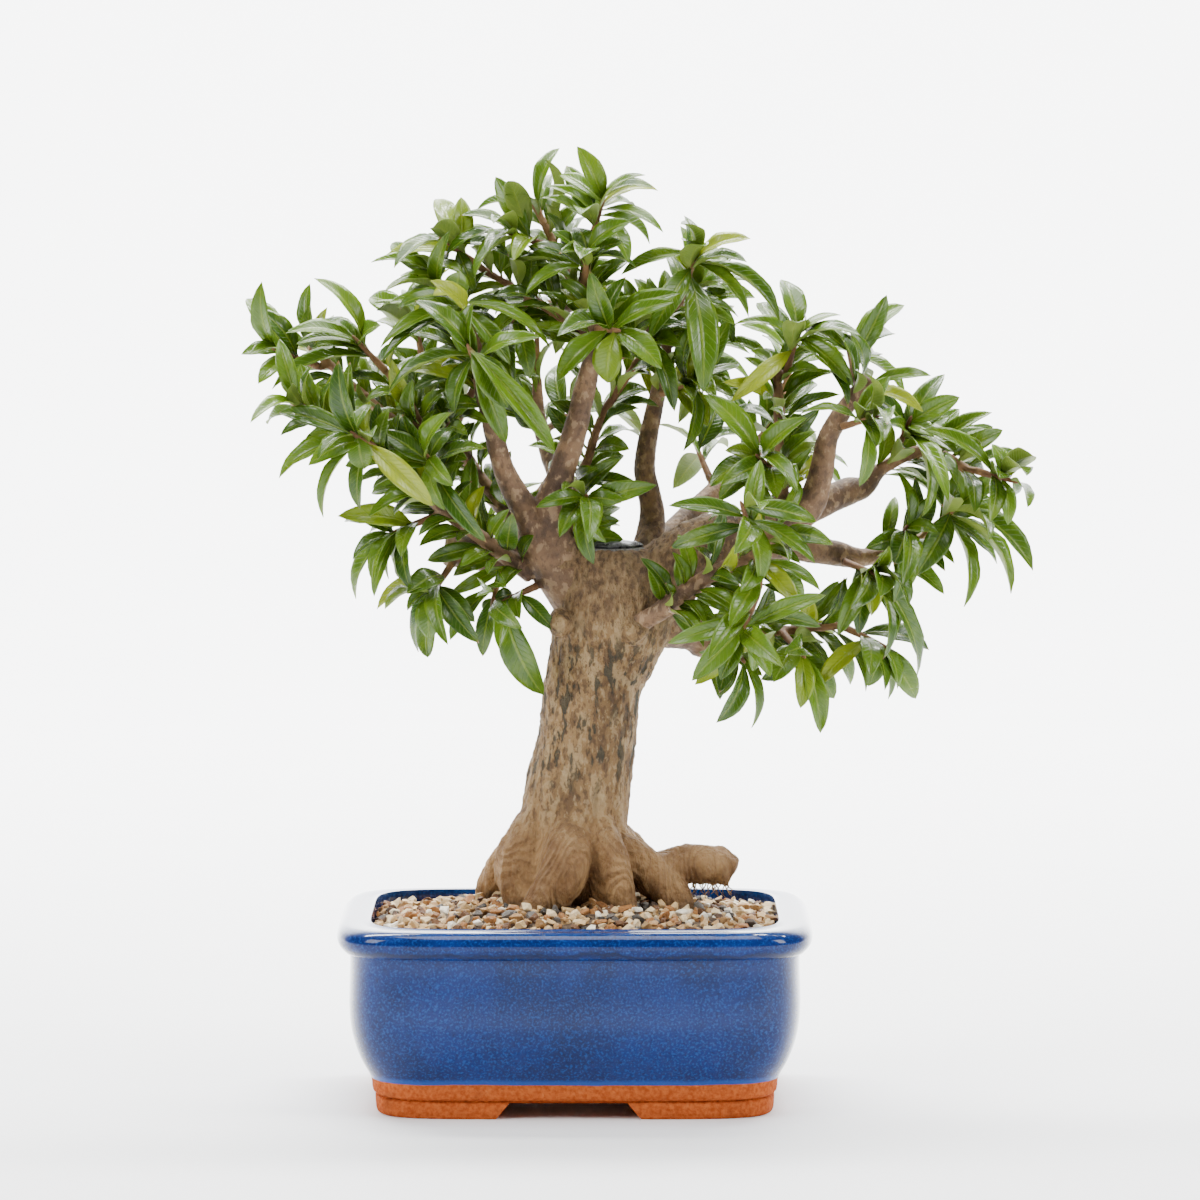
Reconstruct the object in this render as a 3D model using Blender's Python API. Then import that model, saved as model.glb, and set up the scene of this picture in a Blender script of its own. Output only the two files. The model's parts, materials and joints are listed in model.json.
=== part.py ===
"""A pomegranate bonsai in a glazed pot: old trunk with surface roots, pruned limbs, leafy shoots.

Lengths below are in millimetres and turned into metres by MM. X runs to the right of the front,
Y away from the front, Z up from the surface that the pot stands on. The pot's middle is at X 0, Y 0
while the tree is built, and at the end everything is moved so that the origin lies under the
middle of the whole.
"""

import math
import random

import bmesh
import bpy
from mathutils import Matrix, Vector
from mathutils.bvhtree import BVHTree
from mathutils.geometry import delaunay_2d_cdt

MM = 0.001
GAP = 0.35  # between two pieces that touch
CLOSE = 0.0006  # points nearer than this are one

# Pot
POT_HALF_X = 118.0  # over the lip
POT_HALF_Y = 103.0
POT_HEIGHT = 94.0
POT_SQUARENESS = 6.4  # exponent of the superellipse that the pot's plan follows
POT_SIDES = 28
# How far the outside stands in from the lip's edge, and at what height, from the foot to the rim
POT_OUTSIDE = (
    (20.0, 0.0), (19.0, 1.2), (18.6, 7.5), (20.0, 8.8), (17.4, 10.5), (16.8, 15.5), (15.4, 19.0),
    (11.6, 26.0), (8.6, 34.0), (6.6, 43.0), (5.8, 55.0), (6.2, 78.0), (3.6, 80.5), (0.8, 84.0),
    (0.0, 87.5), (0.8, 90.8), (3.4, 93.2), (6.5, 94.0),
)
POT_INSIDE = ((14.5, 93.6), (17.0, 91.5), (17.6, 60.0), (22.0, 22.0), (30.0, 16.0))
POT_UNDER = ((34.0, 9.5), (33.0, 0.0))  # the hollow between the feet, then the foot's inner edge
NOTCH_TOP = 8.2
NOTCH_HALF_LENGTHS = ((36.5, 29.0), (31.0, 24.0))  # low and high, front and back, then the sides
NOTCH_SHIFT = -3.0
DRAIN_X = 42.0
DRAIN_RADIUS = 9.0

# Screens over the drain holes
SCREEN_SIDE = 27.0
SCREEN_THICK = 1.2
SCREEN_HOLES = 3
SCREEN_HOLE = 6.0

# Soil with its grit
SOIL_INSET = 18.6
SOIL_EDGE_Z = 90.5
SOIL_CROWN = 9.5  # how much the mound stands above its edge
SOIL_BOTTOM_Z = 16.6
GRIT_PITCH = 9.0
GRIT_HEIGHT = 2.6

# Trunk, roots and limbs: (x, y, z, radius) along each one
TRUNK = (
    (-2, 12, 84, 20), (-2, 12, 104, 24), (-1.5, 12, 120, 26.2), (-1, 12, 135, 27),
    (0.5, 12, 150, 26.8), (3.5, 12, 165, 25.6), (6, 12, 180, 24.8), (7.5, 12, 195, 24.4),
    (10, 12, 210, 24.6), (14.5, 12, 225, 27), (18, 12, 240, 29.5), (19, 12, 254, 28.5),
    (18, 12, 266, 25.5), (18, 12, 275.5, 21),
)
ROOTS = (
    ((-2, -5, 141, 9), (-4, -13, 126, 12.5), (-7, -18, 112, 12.5), (-16, -21, 101, 8.5), (-24, -23, 91, 5)),
    ((-15, 6, 138, 13), (-23, 3, 126, 14.5), (-26, 0, 114, 14), (-25, -3, 102, 12), (-23, -5, 90, 9)),
    ((13, -7, 140, 6), (17, -13, 128, 7.8), (21, -17, 114, 7.6), (24.5, -20, 102, 6.2), (28, -22, 91, 4)),
    ((7, -7, 137, 6), (11, -11, 124, 6.8), (14, -12, 110, 6.6), (15, -12, 92, 6)),
    ((16, 4, 128, 11), (30, 0, 119, 10.4), (42, -3, 109, 10), (50, -4, 99, 9), (54, -6, 90, 7)),
    ((37, 2, 108, 9), (47, 4, 114, 9.8), (60, 5, 117, 9.6), (71, 5, 115.5, 9.4), (80, 5, 112, 8.2)),
    ((-22, 24, 128, 12), (-33, 36, 112, 11), (-42, 46, 99, 8.5), (-48, 53, 90, 5)),
    ((12, 34, 128, 12), (20, 45, 112, 11), (29, 57, 99, 8), (34, 65, 90, 5)),
    ((20, 24, 128, 10), (34, 33, 113, 9.5), (47, 40, 101, 7), (56, 45, 91, 4.5)),
)
LIMBS = {
    "right": ((26, 12, 246, 20), (57, 8, 270, 17.5), (74, 6, 279, 16), (84, 5, 284, 12.5)),
    "right_bend": (
        (74, 4, 280, 11), (95, 2, 285, 9.5), (110, 2, 291, 8.6), (119, 1, 300, 7.4), (124, 0, 318, 6),
        (128, -2, 335, 5.2), (146, -6, 362, 3.6),
    ),
    "right_low": (
        (74, 12, 276, 9), (102, 24, 276, 7.4), (128, 33, 272, 6.8), (144, 38, 269, 5), (160, 40, 272, 3.2),
        (176, 40, 279, 2.6),
    ),
    "right_back": (
        (104, 8, 289, 8), (135, 28, 302, 7.4), (146, 33, 305, 5.6), (156, 33, 315, 3.6), (178, 26, 324, 3),
        (198, 18, 314, 2.4),
    ),
    "right_upright": ((104, 8, 288, 4.4), (103, 12, 330, 3.1), (101, 12, 371, 2.3)),
    "right_under": ((30, 20, 236, 13), (56, 34, 233, 10.5), (66, 40, 224, 8)),
    "right_under_twig": ((56, 34, 233, 4), (76, 38, 230, 3), (107, 36, 232, 2.5), (132, 30, 235, 2.2)),
    "front_stub": ((22, -8, 235, 5.6), (48, -20, 248, 4.2)),
    "front": ((32, -10, 238, 4.6), (62, -24, 261, 4), (80, -29, 271, 3.8), (89, -31, 276, 3), (101, -34, 288, 2.2)),
    "front_twig": ((88, -31, 275, 2.6), (92, -34, 268, 2.2), (91, -35, 258, 1.9)),
    "left": ((4, 12, 258, 14), (-20, 10, 269, 9.4), (-42, 8, 272, 8.6), (-65, 6, 275, 8.2)),
    "left_front": (
        (-22, 4, 262, 4.6), (-42, -6, 278, 3.9), (-67, -15, 298, 3.6), (-87, -22, 317, 3), (-104, -28, 330, 2.7),
        (-140, -34, 351, 2),
    ),
    "left_back": ((-14, 18, 270, 6), (-37, 28, 295, 4.2), (-50, 31, 312, 3.7), (-60, 35, 330, 3.2), (-76, 40, 362, 2.4)),
    "left_fork": ((-66, -14, 297, 3.4), (-73, -6, 315, 3.4), (-75, -2, 330, 3.2), (-84, 0, 350, 2.7), (-92, 0, 361, 2.2)),
    "left_fork_stub": ((-75, -1, 328, 2.9), (-100, 5, 347, 2.6), (-133, 8, 377, 2.2)),
    "left_fork_twig": ((-73, 0, 325, 2.6), (-58, 6, 342, 2.3), (-50, 10, 358, 2)),
    "tall_left": (
        (2, 8, 250, 14), (-14, 2, 272, 11.5), (-22, -4, 290, 8), (-35, -10, 315, 5.6), (-42, -12, 340, 4.7),
        (-47, -14, 360, 3.8), (-49, -14, 378, 2.8),
    ),
    "tall_left_twig": ((-47, -13, 358, 2.6), (-56, -2, 374, 2.3), (-60, 4, 388, 2)),
    "tall": (
        (-8, 4, 268, 12), (-13, -1, 291, 9.6), (-8, -4, 310, 7.2), (0, -4, 335, 6), (7, -4, 365, 5),
        (10, -4, 379, 4.4), (9, -6, 400, 2.4),
    ),
    "tall_side": ((8, -2, 374, 3.4), (-5, 3, 390, 2.6), (-22, 7, 401, 2.2), (-44, 9, 414, 1.9)),
    "tall_top": ((8, -2, 376, 3.8), (4, 2, 400, 2.9), (6, 1, 422, 2.6)),
    "tall_spike": ((4, 3, 396, 2.8), (-5, 12, 417, 2.3), (-21, 18, 449, 1.9)),
    "tall_right": ((10, -3, 374, 3.8), (25, 4, 374, 3.1), (40, 6, 387, 2.7), (53, 4, 400, 2.3)),
    "middle_back": (
        (34, 22, 262, 10), (39, 32, 290, 6.6), (35, 35, 315, 5.4), (39, 35, 340, 4.6), (44, 33, 362, 3.8),
        (47, 31, 384, 2.6),
    ),
    "middle_twig": ((-2, 14, 270, 4), (1, 18, 302, 2.9), (7, 20, 322, 2.6), (14, 22, 342, 2.3), (28, 22, 364, 1.9)),
    "back": ((14, 28, 258, 12), (6, 56, 284, 7.6), (-8, 82, 306, 5.6), (-18, 98, 332, 4), (-20, 106, 356, 2.6)),
    "back_right": ((28, 26, 255, 11), (54, 60, 284, 7), (76, 84, 304, 5.2), (94, 96, 322, 3.8), (104, 100, 342, 2.6)),
    "back_left": ((2, 24, 262, 9), (-30, 52, 290, 5.8), (-58, 70, 310, 4.2), (-82, 78, 328, 2.8)),
}
LIMB_SIDES = ((16.0, 9), (7.0, 7), (3.4, 5), (0.0, 4))  # above this radius, a limb has so many sides

# Wound sealant on the sawn top
SEAL_CENTRE = (19, 8)
SEAL_RADII = ((13.5, 0.0), (14.5, 1.2), (12.5, 2.6), (6.5, 3.6))
SEAL_SIDES = 12

# Shoots. Each has the end of its spur, the tip of its leafy stem, how many leaves a rule adds, and the
# leaves that show in outline, each as the place along the stem, the leaf's tip and its width.
SHOOTS = {
    "top": ((6, 1, 424), (14.5, -6, 452), 5, (
        (1.0, 1, -10, 477, 10), (0.95, -8, 2, 463, 9), (0.7, -15, -14, 457, 8), (0.5, -17, 8, 451, 7),
        (1.0, 39, -8, 457, 8), (0.9, 30, 16, 446, 9), (0.85, 44, -16, 435, 8), (0.7, 38, 8, 429, 9),
        (0.6, 27, -22, 420, 10))),
    "crown": ((4, 1, 402), (5, -8, 412), 5, (
        (0.9, 1, -8, 437, 13), (0.6, 15, -10, 434, 12), (0.2, -23, -10, 428, 7), (0.1, -36, 4, 417, 7),
        (0.5, -25, -16, 404, 8), (0.6, 31, -12, 417, 7))),
    "spike": ((-10, 12, 426), (-22, 6, 430), 7, ((0.8, -57, 4, 443, 8), (0.4, -30, 16, 436, 7))),
    "side_tip": ((-44, 9, 414), (-52, 8, 420), 6, (
        (0.8, -33, 2, 423, 9), (0.9, -37, 10, 431, 7), (1.0, -60, 12, 428, 7), (0.6, -50, -6, 405, 7))),
    "side_mid": ((-22, 7, 402), (-30, 0, 392), 8, ((0.8, -58, -6, 384, 8), (0.5, -9, -8, 380, 8))),
    "up_left": ((-60, 4, 388), (-72, 0, 418), 7, (
        (1.0, -81, -6, 423, 9), (1.0, -56, -10, 414, 10), (0.95, -102, 2, 419, 7), (0.9, -84, -8, 411, 8),
        (0.6, -88, 6, 396, 7))),
    "left_top": ((-49, -14, 379), (-55, -17, 396), 4, (
        (1.0, -57, -22, 415, 13), (0.8, -97, -20, 378, 8), (0.8, -12, -22, 378, 8), (0.7, -32, -26, 369, 10),
        (0.4, -96, -24, 371, 8), (0.9, -70, -28, 404, 10))),
    "left_low": ((-46, -18, 362), (-48, -24, 367), 4, (
        (0.7, -60, -30, 345, 11), (0.9, -33, -36, 348, 14), (0.8, -93, -32, 356, 9), (0.9, -10, -30, 326, 9),
        (0.5, -34, -26, 330, 10))),
    "far_left": ((-92, 0, 362), (-104, -5, 375), 5, (
        (0.9, -129, -6, 412, 12), (0.9, -139, -12, 379, 8), (0.9, -97, -10, 391, 11), (0.3, -151, -14, 358, 9),
        (1.0, -123, 6, 390, 9))),
    "left_end": ((-118, 6, 363), (-131, 4, 368), 6, ((0.9, -167, 2, 373, 9), (0.5, -140, 14, 350, 8))),
    "left_tuft": ((-98, -32, 326), (-106, -44, 333), 6, (
        (0.9, -147, -30, 345, 10), (0.8, -147, -38, 314, 10), (0.9, -104, -44, 318, 11), (0.5, -70, -46, 300, 12),
        (1.0, -101, -36, 350, 7), (0.6, -126, -34, 294, 8), (0.3, -107, -38, 298, 8))),
    "left_mid": ((-70, -10, 312), (-71, -18, 316), 6, (
        (0.8, -60, -26, 338, 12), (0.8, -64, -34, 297, 9), (0.5, -44, -34, 281, 9))),
    "left_droop": ((-72, -12, 292), (-90, -14, 285), 7, (
        (1.0, -106, -16, 291, 7), (1.0, -111, -18, 272, 7), (0.9, -101, -22, 266, 7), (0.7, -93, -8, 261, 8),
        (0.6, -82, -24, 257, 8))),
    "left_hang": ((-62, -2, 268), (-66, -7, 262), 6, (
        (0.9, -72, -14, 231, 14), (1.0, -74, -4, 222, 8), (0.6, -50, -14, 240, 9), (0.8, -84, -12, 246, 8))),
    "left_under": ((-38, 4, 262), (-39, -2, 258), 5, ((0.9, -31, -14, 252, 8), (0.8, -45, -6, 244, 6))),
    "trunk_hang": ((-13, 2, 260), (-20, -3, 257), 3, (
        (1.0, -16, -12, 203, 15), (0.8, -30, 6, 222, 11), (0.5, -10, -16, 236, 8))),
    "centre_low": ((4, 10, 296), (5, -2, 300), 6, (
        (1.0, 9, -16, 269, 10), (0.8, 23, -14, 300, 8), (0.7, -6, -6, 315, 8), (0.8, -19, -12, 302, 8))),
    "centre": ((9, -6, 386), (13, -14, 386), 5, (
        (0.7, -9, -20, 361, 12), (1.0, 16, -24, 359, 14), (1.0, 27, -22, 376, 9), (0.9, 43, -22, 366, 12))),
    "right_top": ((53, 4, 401), (58, 0, 416), 5, (
        (0.9, 103, -2, 391, 8), (0.8, 87, -14, 394, 8), (0.9, 77, 6, 414, 9), (1.0, 54, -12, 430, 10),
        (0.9, 23, -6, 414, 8), (0.6, 37, -22, 382, 11), (0.3, 64, -20, 355, 15))),
    "right_top_back": ((47, 31, 385), (56, 30, 398), 9, ((0.8, 80, 20, 378, 9), (0.9, 78, 34, 404, 8))),
    "middle_right": ((43, 28, 352), (52, 20, 356), 9, ((0.9, 55, 2, 325, 8), (0.8, 80, 10, 352, 9))),
    "middle": ((28, 22, 364), (35, 15, 375), 9, ((0.7, 50, 0, 345, 8),)),
    "right_crown": ((103, 12, 352), (108, 8, 371), 6, (
        (1.0, 115, 2, 393, 12), (0.9, 80, 2, 389, 8), (0.9, 139, -6, 357, 9), (0.7, 137, -12, 348, 10),
        (0.5, 78, -8, 350, 9))),
    "right_stub": ((141, -5, 356), (139, 4, 366), 6, ((1.0, 135, 0, 384, 8), (0.7, 166, 8, 351, 9))),
    "right_elbow": ((129, -5, 336), (138, -14, 339), 6, (
        (0.9, 150, -22, 328, 8), (0.8, 142, -20, 308, 7), (0.9, 158, -12, 345, 8), (0.5, 112, -20, 345, 8))),
    "right_inner": ((102, 8, 312), (96, -4, 318), 8, ((0.8, 75, -14, 326, 9), (0.5, 72, -4, 300, 12))),
    "right_over": ((160, 30, 318), (166, 18, 334), 7, (
        (0.9, 180, 6, 332, 10), (0.8, 174, 0, 292, 10), (0.4, 186, 4, 302, 9), (1.0, 162, 24, 356, 8))),
    "right_far": ((198, 18, 315), (206, 12, 313), 5, (
        (0.9, 209, 8, 328, 9), (1.0, 219, 14, 300, 9), (0.4, 175, 4, 336, 9), (0.8, 217, 4, 290, 8),
        (0.9, 222, 18, 322, 6))),
    "right_sweep": ((176, 38, 280), (189, 28, 292), 5, (
        (1.0, 231, 14, 265, 11), (0.95, 219, 28, 286, 8), (0.8, 221, 20, 253, 10), (0.7, 197, 14, 246, 9),
        (0.8, 172, 12, 262, 13), (0.6, 214, 36, 266, 9))),
    "right_face": ((162, 36, 274), (166, 18, 284), 6, (
        (0.9, 160, 2, 268, 12), (0.8, 160, 10, 248, 12), (1.0, 182, 6, 284, 10), (0.7, 146, 4, 276, 9))),
    "right_drop": ((134, 30, 268), (146, 18, 264), 6, (
        (0.9, 156, 6, 220, 11), (1.0, 174, 14, 216, 9), (0.6, 132, 4, 232, 9), (0.9, 166, 2, 244, 9))),
    "under_tip": ((132, 30, 236), (141, 26, 232), 7, ((0.9, 148, 18, 205, 9), (0.6, 122, 14, 206, 9))),
    "under_mid": ((104, 34, 232), (108, 26, 228), 6, (
        (0.9, 124, 12, 182, 10), (1.0, 113, 20, 196, 9), (0.6, 94, 20, 208, 9))),
    "under_near": ((76, 36, 230), (79, 28, 226), 6, ((0.9, 90, 18, 184, 8), (0.8, 72, 22, 200, 10))),
    "front_high": ((90, -32, 278), (88, -36, 284), 4, (
        (0.3, 47, -42, 279, 8), (0.9, 120, -42, 292, 9), (0.8, 66, -34, 292, 8), (0.5, 119, -46, 272, 8),
        (0.7, 92, -46, 262, 9))),
    "front_low": ((91, -35, 257), (89, -37, 252), 4, (
        (0.6, 46, -46, 232, 8), (0.8, 58, -52, 214, 10), (0.9, 72, -50, 214, 9), (0.8, 124, -46, 256, 8),
        (0.9, 97, -52, 216, 10), (0.5, 122, -40, 240, 8))),
    "back_low": ((-8, 84, 314), (-14, 98, 306), 5, ()),
    "back_top": ((-20, 106, 357), (-20, 106, 376), 6, ()),
    "back_mid": ((-14, 92, 332), (2, 102, 342), 5, ()),
    "back_right_top": ((104, 100, 343), (110, 102, 360), 6, ()),
    "back_right_mid": ((90, 96, 322), (104, 104, 318), 5, ()),
    "back_right_in": ((70, 80, 304), (64, 92, 318), 5, ()),
    "back_left_top": ((-82, 78, 329), (-92, 80, 342), 6, ()),
    "back_left_mid": ((-58, 72, 314), (-66, 84, 318), 5, ()),
    "left_back_top": ((-76, 40, 363), (-80, 42, 382), 9, ()),
    "left_back_mid": ((-60, 36, 338), (-64, 50, 350), 9, ()),
    "inner_top": ((-3, 14, 396), (-10, 28, 398), 8, ()),
    "inner_right": ((45, 34, 370), (56, 48, 372), 8, ()),
}
STEM_RADII = (2.0, 1.0)
STEM_SIDES = 4
STEM_SHORTEST = 22.0
SPUR_CLEAR = 3.2  # between a limb's side and the end of a spur
SPUR_STRAIGHT = 2.4  # length of the spur's end that is in line with the shoot

# Leaves
LEAF_LENGTH = (28.0, 43.0)
LEAF_WIDTH = (9.0, 12.5)
SHOWN_WIDER = 1.05
LEAF_THICK = 1.6
LEAF_FOLD = 0.10  # how far the edges stand above the midrib, as a share of the half width
LEAF_ARCH = 0.14  # how far the midrib rises above a straight line, as a share of its length
# Place along the leaf, and share of the full width, of a leaf that shows and of one that only fills
LEAF_STATIONS = {"shown": ((0.3, 0.82), (0.66, 0.94)), "filling": ((0.46, 1.0),)}
STEM_LEAFY = (0.28, 0.98)  # the part of a stem that bears leaves
PETIOLE_HALF = 0.75
LEAF_TRIES = 14
CROWN_CENTRE = Vector((25, 30, 320))
CROWN_BOX = ((-168, 232), (-90, 126), (178, 478))
LEAF_SEED = 13

GLAZE_BLUE = (0.02, 0.09, 0.36)
EARTH_BROWN = (0.62, 0.50, 0.34)
BARK_TAN = (0.45, 0.33, 0.20)
LEAF_GREEN = (0.09, 0.25, 0.03)
SCREEN_BLACK = (0.03, 0.03, 0.03)
SEAL_GREY = (0.10, 0.10, 0.11)


def clear_scene():
    for obj in list(bpy.data.objects):
        bpy.data.objects.remove(obj, do_unlink=True)


def material(name, colour, roughness):
    made = bpy.data.materials.new(name)
    made.use_nodes = True
    shader = made.node_tree.nodes["Principled BSDF"]
    shader.inputs["Base Color"].default_value = (*colour, 1)
    shader.inputs["Roughness"].default_value = roughness
    return made


def new_object(name, points, faces, finish=None):
    """A mesh object from points in millimetres."""
    mesh = bpy.data.meshes.new(name)
    mesh.from_pydata([Vector(p) * MM for p in points], [], faces)
    made = bpy.data.objects.new(name, mesh)
    bpy.context.scene.collection.objects.link(made)
    if finish:
        mesh.materials.append(finish)
    return made


def joined(rings):
    """Points and faces of a closed body through rings of as many points each, capped at both ends."""
    count = len(rings[0])
    points = [p for ring in rings for p in ring]
    faces = []
    for i in range(len(rings) - 1):
        for j in range(count):
            k = (j + 1) % count
            low, high = i * count, (i + 1) * count
            faces.append((low + j, low + k, high + k, high + j))
    faces.append(tuple(reversed(range(count))))
    faces.append(tuple(range((len(rings) - 1) * count, len(rings) * count)))
    return points, faces


def apply_modifiers(obj):
    graph = bpy.context.evaluated_depsgraph_get()
    mesh = bpy.data.meshes.new_from_object(obj.evaluated_get(graph))
    obj.modifiers.clear()
    old = obj.data
    obj.data = mesh
    bpy.data.meshes.remove(old)


def boolean(obj, operation, others, solver="EXACT"):
    """Applies one Boolean with all the others, which are then removed."""
    group = bpy.data.collections.new("operands")
    bpy.context.scene.collection.children.link(group)
    for other in others:
        for owner in list(other.users_collection):
            owner.objects.unlink(other)
        group.objects.link(other)
    modifier = obj.modifiers.new("boolean", "BOOLEAN")
    modifier.operation = operation
    modifier.operand_type = "COLLECTION"
    modifier.collection = group
    modifier.solver = solver
    apply_modifiers(obj)
    for other in others:
        bpy.data.objects.remove(other, do_unlink=True)
    bpy.data.collections.remove(group)
    return obj


def extent(verts):
    """The diagonal of the box round some vertices."""
    low = Vector([min(v.co[k] for v in verts) for k in range(3)])
    high = Vector([max(v.co[k] for v in verts) for k in range(3)])
    return (high - low).length


def keep_largest_body(obj):
    """Drops the scraps and the sealed hollows that a union can leave, so that one solid body stays."""
    mesh = bmesh.new()
    mesh.from_mesh(obj.data)
    left = set(mesh.verts)
    bodies = []
    while left:
        body = {left.pop()}
        front = list(body)
        while front:
            for edge in front.pop().link_edges:
                for vert in edge.verts:
                    if vert in left:
                        left.remove(vert)
                        body.add(vert)
                        front.append(vert)
        bodies.append(body)
    largest = max(bodies, key=extent)
    scraps = [v for body in bodies if body is not largest for v in body]
    bmesh.ops.delete(mesh, geom=scraps, context="VERTS")
    bmesh.ops.remove_doubles(mesh, verts=mesh.verts, dist=CLOSE * MM)
    bmesh.ops.dissolve_degenerate(mesh, edges=mesh.edges, dist=CLOSE * MM)
    mesh.to_mesh(obj.data)
    mesh.free()
    return obj


def superellipse(half_x, half_y, z, count):
    """A ring in the pot's plan shape."""
    power = 2 / POT_SQUARENESS
    ring = []
    for k in range(count):
        angle = 2 * math.pi * (k + 0.5) / count
        c, s = math.cos(angle), math.sin(angle)
        # Spacing the points by the curve's own angle bunches them at the corners, where it bends
        ring.append(Vector((
            half_x * math.copysign(abs(c) ** power, c), half_y * math.copysign(abs(s) ** power, s), z,
        )))
    return ring


def pot_ring(inset, z, count=POT_SIDES):
    return superellipse(POT_HALF_X - inset, POT_HALF_Y - inset, z, count)


def notch(low, high, sideways):
    """A cutter for the gap between two feet: a long prism with slanted ends."""
    reach = 200.0
    profile = ((-low, -1.0), (low, -1.0), (high, NOTCH_TOP), (-high, NOTCH_TOP))
    rings = []
    for end in (-reach, reach):
        if sideways:
            rings.append([Vector((end, u, z)) for u, z in profile])
        else:
            rings.append([Vector((u + NOTCH_SHIFT, -end, z)) for u, z in profile])
    return new_object("notch", *joined(rings))


def cylinder(x, y, z_low, z_high, radius, sides):
    rings = [
        [
            Vector((x + radius * math.cos(a), y + radius * math.sin(a), z))
            for a in (2 * math.pi * k / sides for k in range(sides))
        ]
        for z in (z_low, z_high)
    ]
    return new_object("cylinder", *joined(rings))


def make_pot(finish):
    rings = [pot_ring(*POT_UNDER[0]), pot_ring(*POT_UNDER[1])]
    rings += [pot_ring(inset, z) for inset, z in POT_OUTSIDE + POT_INSIDE]
    pot = new_object("pot", *joined(rings), finish)
    cutters = [notch(*NOTCH_HALF_LENGTHS[0], False), notch(*NOTCH_HALF_LENGTHS[1], True)]
    cutters += [cylinder(x, 0, 0, 30, DRAIN_RADIUS, 16) for x in (-DRAIN_X, DRAIN_X)]
    return boolean(pot, "DIFFERENCE", cutters)


def make_screen(name, x, finish):
    """Plastic mesh over a drain hole, lying on the pot's floor."""
    low = POT_INSIDE[-1][1] + GAP
    side = SCREEN_SIDE / 2
    square = ((-side, -side), (side, -side), (side, side), (-side, side))
    rings = [[Vector((x + u, v, z)) for u, v in square] for z in (low, low + SCREEN_THICK)]
    screen = new_object(name, *joined(rings), finish)
    pitch = SCREEN_SIDE / (SCREEN_HOLES + 0.4)
    places = [(k - (SCREEN_HOLES - 1) / 2) * pitch for k in range(SCREEN_HOLES)]
    half = SCREEN_HOLE / 2
    cutters = []
    for u in places:
        for v in places:
            corners = ((u - half, v - half), (u + half, v - half), (u + half, v + half), (u - half, v + half))
            rings = [[Vector((x + p, q, z)) for p, q in corners] for z in (low - 2, low + 4)]
            cutters.append(new_object("hole", *joined(rings)))
    return boolean(screen, "DIFFERENCE", cutters)


def soil_height(x, y):
    """The mound, without its grit: highest round the trunk, level at the rim."""
    across = (x / (POT_HALF_X - SOIL_INSET)) ** 2 + (y / (POT_HALF_Y - SOIL_INSET)) ** 2
    return SOIL_EDGE_Z + SOIL_CROWN * max(0.0, 1 - across) ** 0.8


def make_soil(finish, root_cutters):
    """Soil filling the pot. Its top is grit: peaks and hollows on a staggered grid, jittered."""
    draw = random.Random(5)
    half_x, half_y = POT_HALF_X - SOIL_INSET, POT_HALF_Y - SOIL_INSET
    edge = superellipse(half_x, half_y, SOIL_EDGE_Z, POT_SIDES * 2)
    made = bmesh.new()
    rim = [made.verts.new(p * MM) for p in edge]
    inside = []
    rows = int(2 * half_y / (GRIT_PITCH * 0.87))
    columns = int(2 * half_x / GRIT_PITCH)
    for row in range(rows):
        y = -half_y + (row + 0.5) * 2 * half_y / rows
        for column in range(columns):
            x = -half_x + (column + 0.5 + 0.5 * (row % 2)) * 2 * half_x / columns
            x += draw.uniform(-1, 1)
            lift = GRIT_HEIGHT * draw.choice((0.0, 0.35, 0.8, 1.0)) - GRIT_HEIGHT / 2
            square = abs(x / (half_x - 3.5)) ** POT_SQUARENESS + abs(y / (half_y - 3.5)) ** POT_SQUARENESS
            if square < 1:
                inside.append(made.verts.new(Vector((x, y + draw.uniform(-1, 1), soil_height(x, y) + lift)) * MM))
    flat = [Vector((v.co.x, v.co.y)) for v in rim + inside]
    ring_edges = [(k, (k + 1) % len(rim)) for k in range(len(rim))]
    _, _, faces, where, _, _ = delaunay_2d_cdt(flat, ring_edges, [], 1, 1e-6)
    every = rim + inside
    for face in faces:
        made.faces.new([every[where[i][0]] for i in face])
    walls = ((SOIL_INSET + 0.6, 58.0), (POT_INSIDE[3][0] + 1.2, 23.0), (POT_INSIDE[4][0] + 1.0, SOIL_BOTTOM_Z))
    above = rim
    for inset, z in walls:
        ring = superellipse(POT_HALF_X - inset, POT_HALF_Y - inset, z, POT_SIDES * 2)
        below = [made.verts.new(p * MM) for p in ring]
        for k in range(len(rim)):
            n = (k + 1) % len(rim)
            made.faces.new((above[k], below[k], below[n], above[n]))
        above = below
    made.faces.new(above)
    bmesh.ops.recalc_face_normals(made, faces=made.faces)
    mesh = bpy.data.meshes.new("soil")
    made.to_mesh(mesh)
    made.free()
    soil = bpy.data.objects.new("soil", mesh)
    bpy.context.scene.collection.objects.link(soil)
    mesh.materials.append(finish)
    side = SCREEN_SIDE / 2 + GAP
    for x in (-DRAIN_X, DRAIN_X):
        square = ((-side, -side), (side, -side), (side, side), (-side, side))
        top = POT_INSIDE[-1][1] + 2 * GAP + SCREEN_THICK
        rings = [[Vector((x + u, v, z)) for u, v in square] for z in (SOIL_BOTTOM_Z - 5, top)]
        root_cutters.append(new_object("bed", *joined(rings)))
    return keep_largest_body(boolean(soil, "DIFFERENCE", root_cutters, "MANIFOLD"))


def smooth_route(stations, steps):
    """Points and radii on a smooth curve through the stations (Catmull-Rom)."""
    ends = [stations[0], *stations, stations[-1]]
    found = []
    for i in range(len(stations) - 1):
        a, b, c, d = (Vector(s) for s in ends[i : i + 4])
        for k in range(steps):
            t = k / steps
            found.append(0.5 * (
                2 * b + (c - a) * t + (2 * a - 5 * b + 4 * c - d) * t * t + (3 * b - a - 3 * c + d) * t ** 3
            ))
    found.append(Vector(stations[-1]))
    return [(Vector(f[:3]), f[3]) for f in found]


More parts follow.
